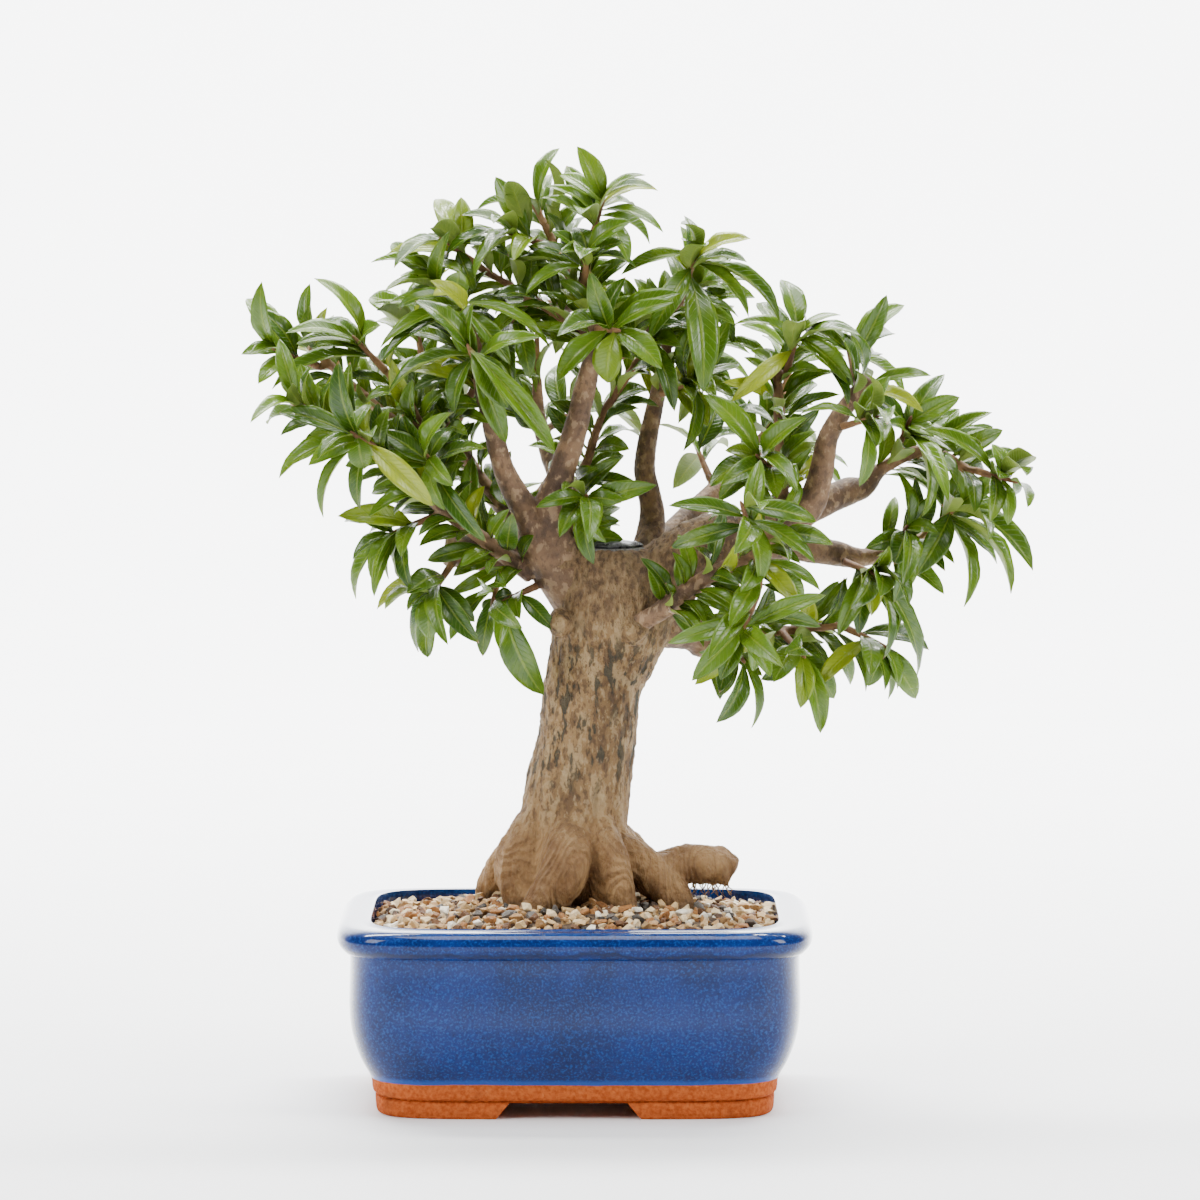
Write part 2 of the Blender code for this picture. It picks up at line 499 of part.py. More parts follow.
def tube(name, stations, sides, steps=1, grow=0.0, finish=None, lumps=0.0, seed=0):
    """A closed round body along the stations, with flat ends."""
    stations = [Vector((*s[:3], s[3])) for s in stations]
    route = smooth_route(stations, steps)
    draw = random.Random(seed)
    rings = []
    side = None
    for i, (point, radius) in enumerate(route):
        before, after = route[max(i - 1, 0)][0], route[min(i + 1, len(route) - 1)][0]
        along = (after - before).normalized()
        if side is None:
            side = along.orthogonal().normalized()
        side = (side - along * side.dot(along)).normalized()
        across = along.cross(side)
        # Both end caps stand out by the growth, as the sides do
        end_shift = along * grow * ((i == len(route) - 1) - (i == 0))
        ring = []
        for k in range(sides):
            angle = 2 * math.pi * k / sides
            reach = radius * (1 + draw.uniform(-lumps, lumps)) + grow
            ring.append(point + end_shift + (side * math.cos(angle) + across * math.sin(angle)) * reach)
        rings.append(ring)
    return new_object(name, *joined(rings), finish)


def sides_for(stations):
    widest = max(s[3] for s in stations)
    return next(sides for radius, sides in LIMB_SIDES if widest >= radius)


def nearest_on_limbs(point):
    """How far a point stands outside the nearest limb, where on its middle line, and its radius there."""
    best = None
    for stations in LIMBS.values():
        for a, b in zip(stations, stations[1:]):
            start, end = Vector(a[:3]), Vector(b[:3])
            share = (point - start).dot(end - start) / (end - start).length_squared
            share = min(1.0, max(0.0, share))
            place = start.lerp(end, share)
            radius = a[3] + (b[3] - a[3]) * share
            clear = (place - point).length - radius
            if best is None or clear < best[0]:
                best = (clear, place, radius)
    return best


def shoot_ends(name):
    """The end of the shoot's spur, set out far enough to clear its limb, and the tip of its stem."""
    base, tip = Vector(SHOOTS[name][0]), Vector(SHOOTS[name][1])
    along = (tip - base).normalized()
    steps = 0
    while nearest_on_limbs(base)[0] < SPUR_CLEAR and steps < 40:
        base = base + along * 0.5
        steps += 1
    if (tip - base).length < STEM_SHORTEST:
        tip = base + along * STEM_SHORTEST
    return base, tip, along


def spurs():
    """The short side twig of the tree that carries each shoot, in line with the shoot's own stem."""
    found = {}
    for name in SHOOTS:
        base, _, along = shoot_ends(name)
        _, root, radius = nearest_on_limbs(base - along * SPUR_STRAIGHT)
        thick = min(radius * 0.9, STEM_RADII[0] + 0.3)
        middle = base - along * SPUR_STRAIGHT
        found[name] = ((*root, thick), (*middle, STEM_RADII[0]), (*base, STEM_RADII[0]))
    return found


def make_tree(finish):
    """Trunk, roots, limbs and spurs, grown as one piece. Returns it and the cutters for its bed in the soil."""
    trunk = tube("tree", TRUNK, 14, 1, finish=finish, lumps=0.05, seed=3)
    others = [tube("root", r, 9, 1, lumps=0.06, seed=i) for i, r in enumerate(ROOTS)]
    others += [tube("limb", s, sides_for(s), 1, lumps=0.05, seed=i) for i, s in enumerate(LIMBS.values())]
    others += [tube("spur", s, STEM_SIDES) for s in spurs().values()]
    tree = keep_largest_body(boolean(trunk, "UNION", others))
    cutters = [tube("bed", TRUNK[:5], 14, 1, grow=GAP * 2, lumps=0.05, seed=3)]
    cutters += [tube("bed", r, 9, 1, grow=GAP * 2, lumps=0.06, seed=i) for i, r in enumerate(ROOTS)]
    return tree, cutters


def make_seal(finish):
    """The lump of wound sealant on the sawn top of the trunk."""
    top = TRUNK[-1][2] + GAP
    rings = []
    for radius, z in SEAL_RADII:
        rings.append([
            Vector((SEAL_CENTRE[0] + radius * math.cos(a) * (1 + 0.08 * math.sin(3 * a)),
                    SEAL_CENTRE[1] + 0.8 * radius * math.sin(a), top + z))
            for a in (2 * math.pi * k / SEAL_SIDES for k in range(SEAL_SIDES))
        ])
    return new_object("wound_seal", *joined(rings), finish)


def leaf_facing(base, tip, draw):
    """Which way a leaf's upper side looks: up, forward and out of the crown, and a little to one side."""
    out = ((base + tip) / 2 - CROWN_CENTRE).normalized()
    turn = Vector((draw.uniform(-1, 1), draw.uniform(-1, 1), draw.uniform(-0.3, 1)))
    return (Vector((0, -0.6, 0.5)) + out * 0.5 + turn * 0.4).normalized()


def midrib(base, tip, facing, share):
    """A point on the leaf's midrib, and the directions along, across and out of the blade there."""
    span = tip - base
    up = (facing - span.normalized() * facing.dot(span.normalized())).normalized()
    middle = (base + tip) / 2 + up * span.length * LEAF_ARCH * 2
    point = base * (1 - share) ** 2 + middle * 2 * share * (1 - share) + tip * share**2
    along = ((middle - base) * (1 - share) + (tip - middle) * share).normalized()
    across = along.cross(up).normalized()
    return point, along, across, across.cross(along).normalized()


def blade(base, tip, facing, width, kind, grow=0.0, start=0.0):
    """Points and faces of one leaf: a folded, arched blade that ends in a point."""
    rings = []
    for share, wide in ((start, PETIOLE_HALF * 2 / width), *LEAF_STATIONS[kind]):
        point, _, across, out = midrib(base, tip, facing, share)
        half = wide * width / 2 + grow
        thick = LEAF_THICK / 2 + grow
        rise = out * (LEAF_FOLD * half)
        rings.append([point + across * half + rise, point - out * thick, point - across * half + rise])
    points = [p for ring in rings for p in ring]
    faces = [(2, 1, 0)]
    for i in range(len(rings) - 1):
        for j in range(3):
            k = (j + 1) % 3
            low, high = 3 * i, 3 * (i + 1)
            faces.append((low + j, low + k, high + k, high + j))
    end = len(points)
    points.append(tip + (tip - base).normalized() * grow)
    last = 3 * (len(rings) - 1)
    faces += [(last + j, last + (j + 1) % 3, end) for j in range(3)]
    return points, faces


def tree_of(points, faces):
    return BVHTree.FromPolygons(points, faces)


class Crown:
    """Keeps what stands in the crown, so that each new leaf can be set clear of it."""

    def __init__(self, wood):
        mesh = wood.data
        points = [v.co / MM for v in mesh.vertices]
        self.solids = [("wood", tree_of(points, [tuple(p.vertices) for p in mesh.polygons]))]

    def add(self, owner, points, faces):
        self.solids.append((owner, tree_of(points, faces)))

    def is_clear(self, owner, leaf):
        own = tree_of(*blade(*leaf, grow=0.3, start=0.22))
        other = tree_of(*blade(*leaf, grow=0.42))
        for name, solid in self.solids:
            if (own if name == owner else other).overlap(solid):
                return False
        return True


def rule_leaf(name, index, start, attempt, draw):
    """Tip and width of a leaf that the rule adds: opposite pairs up the stem, each turned on the last."""
    base, tip, along = shoot_ends(name)
    side = along.orthogonal().normalized()
    across = along.cross(side)
    angle = index * math.pi + (index // 2) * math.pi / 2 + draw.uniform(-0.6, 0.6) + attempt * 0.7
    out = side * math.cos(angle) + across * math.sin(angle)
    lean = draw.uniform(0.2, 1.1)
    length = draw.uniform(*LEAF_LENGTH) * (1 - 0.03 * attempt)
    away = ((base + tip) / 2 - CROWN_CENTRE).normalized()
    direction = (along * lean + out + away * 0.3 + Vector((0, 0, draw.uniform(-0.4, 0.1)))).normalized()
    return start + direction * length, draw.uniform(*LEAF_WIDTH)


def leaf_starts(name):
    """Where the shoot's leaves leave its stem: the ones that show by their own order, then the filling ones."""
    base, tip, _ = shoot_ends(name)
    _, _, filling, shown = SHOOTS[name]
    order = sorted([(leaf[0], i) for i, leaf in enumerate(shown)])
    order += [((k + 0.5) / filling, len(shown) + k) for k in range(filling)]
    low, high = STEM_LEAFY
    starts = [None] * len(order)
    for rank, (_, i) in enumerate(sorted(order)):
        starts[i] = base.lerp(tip, low + (high - low) * (rank + 0.5) / len(order))
    return starts


def plan_leaves(wood):
    """Every shoot's leaves, none through another shoot or a limb: base, tip, facing, width and kind."""
    crown = Crown(wood)
    leaves = {name: [] for name in SHOOTS}
    for name in SHOOTS:
        base, tip, along = shoot_ends(name)
        ends = ((*(base + along * GAP), STEM_RADII[0] + 0.5), (*tip, STEM_RADII[1] + 0.5))
        stem = tube("stem", ends, STEM_SIDES)
        crown.add(name, [v.co / MM for v in stem.data.vertices], [tuple(p.vertices) for p in stem.data.polygons])
        bpy.data.objects.remove(stem, do_unlink=True)

    def place(name, base, tip, width, kind, draw):
        leaf = (base, tip, leaf_facing(base, tip, draw), width, kind)
        inside = all(low < c < high for c, (low, high) in zip(tip, CROWN_BOX))
        if not inside or not crown.is_clear(name, leaf):
            return False
        crown.add(name, *blade(*leaf))
        leaves[name].append(leaf)
        return True

    for order, (name, shoot) in enumerate(SHOOTS.items()):
        draw = random.Random(LEAF_SEED * 1000 + order)
        for start, (_, x, y, z, width) in zip(leaf_starts(name), shoot[3]):
            for attempt in range(LEAF_TRIES):
                shift = Vector((0, draw.uniform(-3, 3) * attempt, draw.uniform(-1, 1) * attempt))
                if place(name, start, Vector((x, y, z)) + shift, width * SHOWN_WIDER, "shown", draw):
                    break
    for order, (name, shoot) in enumerate(SHOOTS.items()):
        draw = random.Random(LEAF_SEED * 2000 + order)
        for index, start in enumerate(leaf_starts(name)[len(shoot[3]):]):
            for attempt in range(LEAF_TRIES):
                if place(name, start, *rule_leaf(name, index, start, attempt, draw), "filling", draw):
                    break
    return leaves


def make_shoot(name, leaves, finish):
    """One leafy shoot: a stem with its leaves grown into it."""
    base, tip, along = shoot_ends(name)
    stations = ((*(base + along * GAP), STEM_RADII[0]), (*tip, STEM_RADII[1]))
    stem = tube("shoot_" + name, stations, STEM_SIDES, finish=finish)
    if not leaves:
        return stem
    blades = [new_object("leaf", *blade(*leaf)) for leaf in leaves]
    return keep_largest_body(boolean(stem, "UNION", blades, "MANIFOLD"))


def centre_on_origin():
    """Moves every mesh so that the origin lies under the middle of the whole."""
    bpy.context.view_layer.update()
    points = [v.co for o in bpy.data.objects if o.type == "MESH" for v in o.data.vertices]
    middle = Vector([(min(p[k] for p in points) + max(p[k] for p in points)) / 2 for k in (0, 1)] + [0])
    for obj in bpy.data.objects:
        if obj.type == "MESH":
            obj.data.transform(Matrix.Translation(-middle))
    print("pot centre at", [round(-c / MM, 3) for c in middle])


def main():
    clear_scene()
    glaze = material("blue glaze", GLAZE_BLUE, 0.15)
    bark = material("bark", BARK_TAN, 0.85)
    green = material("leaf", LEAF_GREEN, 0.4)
    grit = material("grit", EARTH_BROWN, 0.9)
    plastic = material("screen plastic", SCREEN_BLACK, 0.6)
    sealant = material("wound sealant", SEAL_GREY, 0.35)
    make_pot(glaze)
    make_screen("drain_screen_left", -DRAIN_X, plastic)
    make_screen("drain_screen_right", DRAIN_X, plastic)
    tree, beds = make_tree(bark)
    make_soil(grit, beds)
    make_seal(sealant)
    leaves = plan_leaves(tree)
    for name in SHOOTS:
        make_shoot(name, leaves[name], green)
    print("leaves", sum(len(v) for v in leaves.values()))
    centre_on_origin()


main()
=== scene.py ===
# %% [markdown]
# # A pomegranate bonsai, dressed step by step
# This lesson takes a plain solid model of a potted bonsai and gives it its looks: a glazed pot,
# loose grit, old bark, fine twigs and a crown of glossy leaves.
# The solid model is the frame. Every piece made here rides on it and stands for some of its nodes.

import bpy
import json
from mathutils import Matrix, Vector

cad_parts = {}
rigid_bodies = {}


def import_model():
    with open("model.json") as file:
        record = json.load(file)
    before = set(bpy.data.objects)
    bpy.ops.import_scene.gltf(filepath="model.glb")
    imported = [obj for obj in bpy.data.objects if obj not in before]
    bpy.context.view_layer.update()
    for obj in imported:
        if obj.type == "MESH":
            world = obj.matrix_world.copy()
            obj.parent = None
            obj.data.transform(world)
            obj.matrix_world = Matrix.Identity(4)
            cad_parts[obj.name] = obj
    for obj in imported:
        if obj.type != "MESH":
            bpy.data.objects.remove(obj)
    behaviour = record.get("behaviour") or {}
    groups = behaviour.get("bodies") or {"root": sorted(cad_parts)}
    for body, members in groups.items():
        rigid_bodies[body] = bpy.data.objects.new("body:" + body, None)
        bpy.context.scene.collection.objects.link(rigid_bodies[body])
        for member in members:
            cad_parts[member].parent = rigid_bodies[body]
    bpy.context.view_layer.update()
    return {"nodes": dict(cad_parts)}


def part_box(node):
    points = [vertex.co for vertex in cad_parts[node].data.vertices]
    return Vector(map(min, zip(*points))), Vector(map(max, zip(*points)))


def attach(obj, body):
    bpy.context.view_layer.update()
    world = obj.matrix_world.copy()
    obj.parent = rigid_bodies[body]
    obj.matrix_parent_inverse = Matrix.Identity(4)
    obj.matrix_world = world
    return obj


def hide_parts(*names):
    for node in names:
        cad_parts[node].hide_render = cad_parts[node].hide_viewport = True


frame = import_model()

# %% [markdown]
# ## Where things are
# The tree is easiest to describe in millimetres from the middle of its pot. The model's own origin
# is under the middle of the whole, so one helper turns the first into the second.

# %% From pot millimetres to metres
import json
import math
import random

import bmesh
import bpy
import numpy as np
from mathutils import Matrix, Vector, noise
from mathutils.bvhtree import BVHTree

MM = 0.001
pot_low, pot_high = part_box("pot")
POT_MIDDLE = Vector(((pot_low.x + pot_high.x) / 2, (pot_low.y + pot_high.y) / 2, 0))
print("the pot's middle is at", [round(c, 5) for c in POT_MIDDLE])


def at(point):
    """A point in pot millimetres, in the model's metres."""
    return Vector(point) * MM + POT_MIDDLE


def placed(name, data):
    """A new object of the scene."""
    made = bpy.data.objects.new(name, data)
    bpy.context.scene.collection.objects.link(made)
    return made


def mesh_object(name, points, faces, look=None, smooth=True):
    mesh = bpy.data.meshes.new(name)
    mesh.from_pydata([at(p) for p in points], [], faces)
    mesh.update()
    if smooth:
        mesh.shade_smooth()
    if look:
        mesh.materials.append(look)
    return placed(name, mesh)


def settle(piece, *nodes, slot, body="root"):
    """The piece rides on the model and stands for the nodes. The slot is not used."""
    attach(piece, body)
    if nodes:
        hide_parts(*nodes)
    print(piece.name, "has", sum(len(p.vertices) - 2 for p in piece.data.polygons), "triangles")
    return piece


def plain_mesh(obj):
    """Bakes the modifiers into the mesh, so that nothing is left to compute later."""
    graph = bpy.context.evaluated_depsgraph_get()
    mesh = bpy.data.meshes.new_from_object(obj.evaluated_get(graph))
    obj.modifiers.clear()
    old = obj.data
    obj.data = mesh
    bpy.data.meshes.remove(old)
    return obj


# %% [markdown]
# ## Sums with shader sockets
# A procedural look is mostly arithmetic on patterns. Wrapping a socket in a small class lets Python's
# own operators add the Math nodes, so a mask can be written as `1 - noise * 2`.

# %% A socket that can be used in sums
class Wire:
    """An output socket. Arithmetic on it adds Math nodes to its material."""

    def __init__(self, look, socket):
        self.look = look
        self.socket = socket

    def sum(self, operation, *values):
        settings = {"operation": operation}
        return self.look.node("Math", settings, dict(enumerate(values)))

    def __add__(self, other):
        return self.sum("ADD", self, other)

    def __sub__(self, other):
        return self.sum("SUBTRACT", self, other)

    def __rsub__(self, other):
        return self.sum("SUBTRACT", other, self)

    def __mul__(self, other):
        return self.sum("MULTIPLY", self, other)

    __radd__ = __add__
    __rmul__ = __mul__

    def absolute(self):
        return self.sum("ABSOLUTE", self)

    def sine(self):
        return self.sum("SINE", self)

    def ramp(self, low, high):
        """0 below low and 1 above high, with a soft step between. Low may be above high."""
        values = {"Value": self, "From Min": low, "From Max": high}
        return self.look.node("MapRange", {"interpolation_type": "SMOOTHSTEP"}, values)


class Look:
    """A material under construction."""

    def __init__(self, name, **constants):
        self.material = bpy.data.materials.new(name)
        self.material.use_nodes = True
        self.tree = self.material.node_tree
        self.shader = self.tree.nodes["Principled BSDF"]
        self.feed(self.shader, {key.replace("_", " "): value for key, value in constants.items()})

    def feed(self, node, values):
        for key, value in values.items():
            if isinstance(value, Wire):
                self.tree.links.new(value.socket, node.inputs[key])
            else:
                node.inputs[key].default_value = value

    def node(self, kind, settings=None, values=None, output=0):
        made = self.tree.nodes.new("ShaderNode" + kind)
        for key, value in (settings or {}).items():
            setattr(made, key, value)
        self.feed(made, values or {})
        return Wire(self, made.outputs[output])

    def mix(self, first, second, factor):
        """A colour between two colours."""
        pair = {0: factor}
        for key, colour in ((6, first), (7, second)):
            pair[key] = colour if isinstance(colour, Wire) else (*colour, 1)
        return self.node("Mix", {"data_type": "RGBA"}, pair, 2)

    def place(self):
        return self.node("TexCoord", output=3)

    def height(self):
        """The height of the shaded point, in metres."""
        return self.node("SeparateXYZ", values={0: self.place()}, output=2)

    def noise(self, scale, stretch=(1, 1, 1), detail=4.0, output=0, roughness=0.55):
        """Cloudy noise with so many features to a metre, stretched along the axes."""
        where = self.node("Mapping", values={0: self.place(), 3: stretch})
        values = {"Vector": where, "Scale": scale, "Detail": detail, "Roughness": roughness}
        return self.node("TexNoise", values=values, output=output)

    def attribute(self, name):
        return self.node("Attribute", {"attribute_name": name}, output=2)

    def finish(self, colour, roughness=None, height=None, depth=0.0005):
        """Joins the colour, the roughness and a bump of so many metres to the shader."""
        self.feed(self.shader, {"Base Color": colour})
        if roughness is not None:
            self.feed(self.shader, {"Roughness": roughness})
        if height is not None:
            values = {"Height": height, "Distance": depth, "Strength": 1.0}
            bump = self.node("Bump", values=values)
            self.feed(self.shader, {"Normal": bump})
        return self.material


# %% [markdown]
# ## The finishes
# Each finish is worked out from patterns in the object's own space, so nothing is painted from a
# picture and nothing slides when the camera moves. The glaze is fired in one go with the pot, so
# one material turns from glass-like blue to bare clay at the height where the potter wiped it off.

# %% Glaze and bare clay
GLAZE_EDGE = 0.0172  # height of the wiped line above the ground
ROLL_TOP = 0.0925
HANG_LOW = 0.0795  # the dark line under the roll, where the glaze ran


def glaze_look():
    look = Look(
        "blue glaze on red clay", Coat_Roughness=0.035, Coat_IOR=1.31, Specular_IOR_Level=0.05, IOR=1.45
    )
    wave = look.noise(30, (1, 1, 0.3)) * 0.0022
    height = look.height()
    glazed = (height - wave).ramp(GLAZE_EDGE - 0.0012, GLAZE_EDGE - 0.0007)
    pool = look.noise(34, (1, 1, 0.6), 6)
    fleck = look.noise(850, detail=4).ramp(0.47, 0.66)
    speck = look.noise(620, detail=3).ramp(0.55, 0.68)
    blue = look.mix((0.0008, 0.0085, 0.066), (0.0012, 0.015, 0.112), pool.ramp(0.36, 0.64))
    blue = look.mix(blue, (0.004, 0.062, 0.28), fleck * 0.55)
    blue = look.mix(blue, (0.001, 0.006, 0.045), speck * 0.6)
    # Under the roll the glaze hangs in a dark wavy line
    hung = height - look.noise(75, (1, 1, 0.2), 2) * 0.006
    hang = hung.ramp(HANG_LOW - 0.0025, HANG_LOW) * hung.ramp(HANG_LOW + 0.0018, HANG_LOW + 0.0004)
    blue = look.mix(blue, (0.002, 0.006, 0.035), hang * 0.8)
    # Painted highlight: the lip's crown is made a patchy lighter blue, where the light from above catches its
    # top
    lip_top_highlight = height.ramp(ROLL_TOP - 0.0016, ROLL_TOP + 0.0012) * look.noise(140).ramp(0.25, 0.7)
    blue = look.mix(blue, (0.012, 0.06, 0.24), lip_top_highlight * 0.5)
    bead = (height - wave).ramp(GLAZE_EDGE + 0.0026, GLAZE_EDGE)
    blue = look.mix(blue, (0.010, 0.07, 0.34), bead * 0.7)
    grain = look.noise(520, detail=8)
    clay = look.mix((0.30, 0.055, 0.011), (0.48, 0.115, 0.027), grain.ramp(0.3, 0.7))
    clay = look.mix(clay, (0.17, 0.04, 0.014), look.noise(70).ramp(0.58, 0.78) * 0.5)
    clay = look.mix(clay, (0.58, 0.20, 0.065), look.noise(240).ramp(0.6, 0.75) * 0.3)
    rough = look.mix((0.82, 0.82, 0.82), (0.46, 0.46, 0.46), glazed)
    look.feed(look.shader, {"Coat Weight": glazed})
    relief = grain * (1 - glazed) + look.noise(60, detail=2) * glazed * 0.10 + hang * 0.25
    return look.finish(look.mix(clay, blue, glazed), rough, relief, 0.0006)


# %% [markdown]
# ## Bark
# Old bark on this tree is smooth and warm at the roots, pale and flaky up the trunk, and streaked
# with grey-green where damp runs down. Young twigs are thin-skinned, greyer and redder.

# %% Old bark, young bark, sawn wood and sealant
def old_bark_look():
    look = Look("old bark", IOR=1.45)
    height = look.height()
    broad = look.noise(30, (1, 1, 0.5), 8)
    plate = look.noise(150, (1, 1, 0.5), 9)
    small = look.noise(420, (1, 1, 0.55), 8)
    grain = look.noise(1100, (1, 1, 0.4), 6)
    tan = look.mix((0.152, 0.085, 0.031), (0.288, 0.174, 0.072), broad.ramp(0.36, 0.64))
    tan = look.mix(tan, (0.440, 0.311, 0.156), plate.ramp(0.52, 0.58) * 0.5)
    tan = look.mix(tan, (0.084, 0.043, 0.016), plate.ramp(0.46, 0.41) * 0.65)
    tan = look.mix(tan, (0.480, 0.348, 0.186), small.ramp(0.56, 0.64) * 0.35)
    tan = look.mix(tan, (0.056, 0.030, 0.012), small.ramp(0.45, 0.38) * 0.6)
    streak = look.noise(260, (1, 1, 0.3), 6).ramp(0.53, 0.59)
    middle = height.ramp(0.135, 0.175) * height.ramp(0.255, 0.215)
    tan = look.mix(tan, (0.032, 0.030, 0.016), streak * middle * broad.ramp(0.34, 0.48) * 0.85)
    swirl = (look.noise(16, (1, 1, 0.6), 2) * 210).sine()
    cloud = look.noise(60, (1, 1, 0.6), 6)
    warm = look.mix((0.176, 0.085, 0.027), (0.384, 0.222, 0.090), cloud.ramp(0.34, 0.66))
    warm = look.mix(warm, (0.096, 0.043, 0.013), swirl.ramp(0.60, 1.0) * 0.3)
    tan = look.mix(tan, warm, height.ramp(0.152, 0.122) * 0.85)
    brown = look.mix((0.068, 0.037, 0.015), (0.192, 0.115, 0.051), small.ramp(0.35, 0.65))
    tan = look.mix(tan, brown, height.ramp(0.225, 0.262) * 0.75)
    tan = look.mix(tan, (0.040, 0.021, 0.009), height.ramp(0.104, 0.095) * 0.6)
    rough = grain * 0.25 + 0.6
    relief = plate * 0.9 + small * 0.6 + grain * 0.25
    relief = relief + swirl * height.ramp(0.15, 0.12) * 0.10 - streak * middle * 0.3
    return look.finish(tan, rough, relief, 0.0048)


def young_bark_look():
    look = Look("young bark", IOR=1.45)
    broad = look.noise(60, detail=7)
    patch = look.noise(260, (1, 1, 0.7), 7)
    fine = look.noise(1300, (1, 1, 0.6), 5)
    young = look.attribute("young")
    old_brown = look.mix((0.064, 0.033, 0.016), (0.187, 0.105, 0.051), broad.ramp(0.34, 0.66))
    old_brown = look.mix(old_brown, (0.323, 0.211, 0.116), patch.ramp(0.53, 0.62) * 0.55)
    old_brown = look.mix(old_brown, (0.038, 0.020, 0.010), patch.ramp(0.44, 0.38) * 0.5)
    red_brown = look.mix((0.128, 0.055, 0.020), (0.272, 0.144, 0.061), broad.ramp(0.35, 0.65))
    colour = look.mix(old_brown, red_brown, young)
    return look.finish(colour, fine * 0.3 + 0.5, fine * 0.4 + patch, 0.0010)


def sawn_look():
    look = Look("sawn wood", IOR=1.45)
    ring = look.noise(450, detail=6)
    colour = look.mix((0.36, 0.23, 0.15), (0.62, 0.45, 0.31), ring.ramp(0.3, 0.7))
    colour = look.mix(colour, (0.20, 0.13, 0.09), look.noise(160).ramp(0.55, 0.75) * 0.6)
    return look.finish(colour, ring * 0.2 + 0.65, ring, 0.0005)


def grey_cut_look():
    look = Look("weathered cut", IOR=1.45)
    grain = look.noise(620, detail=8)
    colour = look.mix((0.10, 0.095, 0.088), (0.30, 0.285, 0.26), grain.ramp(0.3, 0.7))
    return look.finish(colour, grain * 0.2 + 0.68, grain, 0.0008)


def sealant_look():
    look = Look("wound sealant", IOR=1.48)
    lump = look.noise(260, detail=6)
    colour = look.mix((0.018, 0.019, 0.02), (0.085, 0.088, 0.09), lump.ramp(0.35, 0.7))
    return look.finish(colour, lump * 0.3 + 0.16, lump, 0.0009)


# %% [markdown]
# ## Leaves
# A pomegranate leaf is glossy above and paler below, with a light midrib and fine side veins.
# Its own coordinates say where a point is: along the leaf, across it, and on which face.

# %% Leaf look
def leaf_look():
    look = Look("pomegranate leaf", IOR=1.45, Specular_IOR_Level=0.5)
    uv = look.node("TexCoord", output=2)
    across = look.node("SeparateXYZ", values={0: uv}, output=0)
    along = look.node("SeparateXYZ", values={0: uv}, output=1)
    side = (across - 0.5).absolute() * 2
    shade = look.attribute("shade")
    under = look.attribute("under")
    patch = look.noise(60, detail=4)
    green = look.mix((0.022, 0.062, 0.0012), (0.085, 0.165, 0.003), shade)
    green = look.mix(green, (0.150, 0.235, 0.005), patch.ramp(0.45, 0.75) * 0.5)
    green = look.mix(green, (0.25, 0.30, 0.010), shade.ramp(0.93, 0.99))
    below = look.mix((0.125, 0.19, 0.022), (0.21, 0.28, 0.042), patch.ramp(0.3, 0.7))
    green = look.mix(green, below, under)
    wave = ((along - side * 0.16) * 88).sine()
    vein = wave.ramp(0.78, 1.0) * side.ramp(1.0, 0.75)
    green = look.mix(green, (0.16, 0.28, 0.03), vein * 0.22)
    rib = side.ramp(0.13, 0.04) * (1 - along * 0.5)
    green = look.mix(green, (0.27, 0.34, 0.035), rib * 0.45)
    green = look.mix(green, (0.19, 0.27, 0.03), side.ramp(0.90, 1.0) * 0.4)
    dry = along.ramp(0.955, 1.0) * shade.ramp(0.25, 0.05)
    green = look.mix(green, (0.28, 0.13, 0.05), dry)
    green = look.mix(green, (0.33, 0.16, 0.06), along.ramp(0.06, 0.0) * 0.7)
    rough = under * 0.25 + patch * 0.16 + 0.17
    return look.finish(green, rough, rib * 0.8 + vein * 0.5 + patch * 0.2, 0.0004)


# %% Grit, earth, plastic mesh and floor
GRIT_COLOURS = (
    (0.00, (0.030, 0.024, 0.018)), (0.05, (0.12, 0.105, 0.09)), (0.10, (0.115, 0.048, 0.014)),
    (0.20, (0.30, 0.125, 0.030)), (0.33, (0.40, 0.225, 0.085)), (0.52, (0.56, 0.37, 0.17)),
    (0.74, (0.72, 0.56, 0.33)), (0.92, (0.86, 0.80, 0.66)),
)


def grit_look():
    look = Look("grit", IOR=1.5)
    shade = look.attribute("shade")
    grain = look.noise(700, detail=7)
    colour = look.mix(GRIT_COLOURS[0][1], GRIT_COLOURS[0][1], grain)
    for start, tint in GRIT_COLOURS[1:]:
        colour = look.mix(colour, tint, shade.ramp(start - 0.02, start + 0.02))
    colour = look.mix(colour, (0.20, 0.13, 0.08), grain.ramp(0.54, 0.74) * 0.45)
    colour = look.mix(colour, (0.9, 0.87, 0.8), grain.ramp(0.40, 0.30) * 0.25)
    return look.finish(colour, grain * 0.25 + 0.6, grain, 0.0008)


def earth_look():
    look = Look("earth", IOR=1.4)
    grain = look.noise(700, detail=8)
    colour = look.mix((0.035, 0.024, 0.016), (0.15, 0.10, 0.062), grain.ramp(0.3, 0.7))
    return look.finish(colour, grain * 0.1 + 0.85, grain, 0.001)


def screen_look():
    look = Look("black plastic mesh", IOR=1.46)
    wear = look.noise(400, detail=4)
    black = look.mix((0.012, 0.012, 0.012), (0.04, 0.04, 0.04), wear)
    return look.finish(black, wear * 0.2 + 0.45, wear, 0.0003)


def floor_look():
    look = Look("pale floor", IOR=1.45)
    soft = look.noise(6, detail=3)
    return look.finish(look.mix((0.82, 0.825, 0.83), (0.86, 0.865, 0.87), soft), soft * 0.1 + 0.6)


GLAZE, OLD_BARK, YOUNG_BARK = glaze_look(), old_bark_look(), young_bark_look()
SAWN, GREY_CUT, SEALANT = sawn_look(), grey_cut_look(), sealant_look()
LEAF, GRIT, EARTH = leaf_look(), grit_look(), earth_look()
SCREEN = screen_look()
print("finishes:", len(bpy.data.materials))

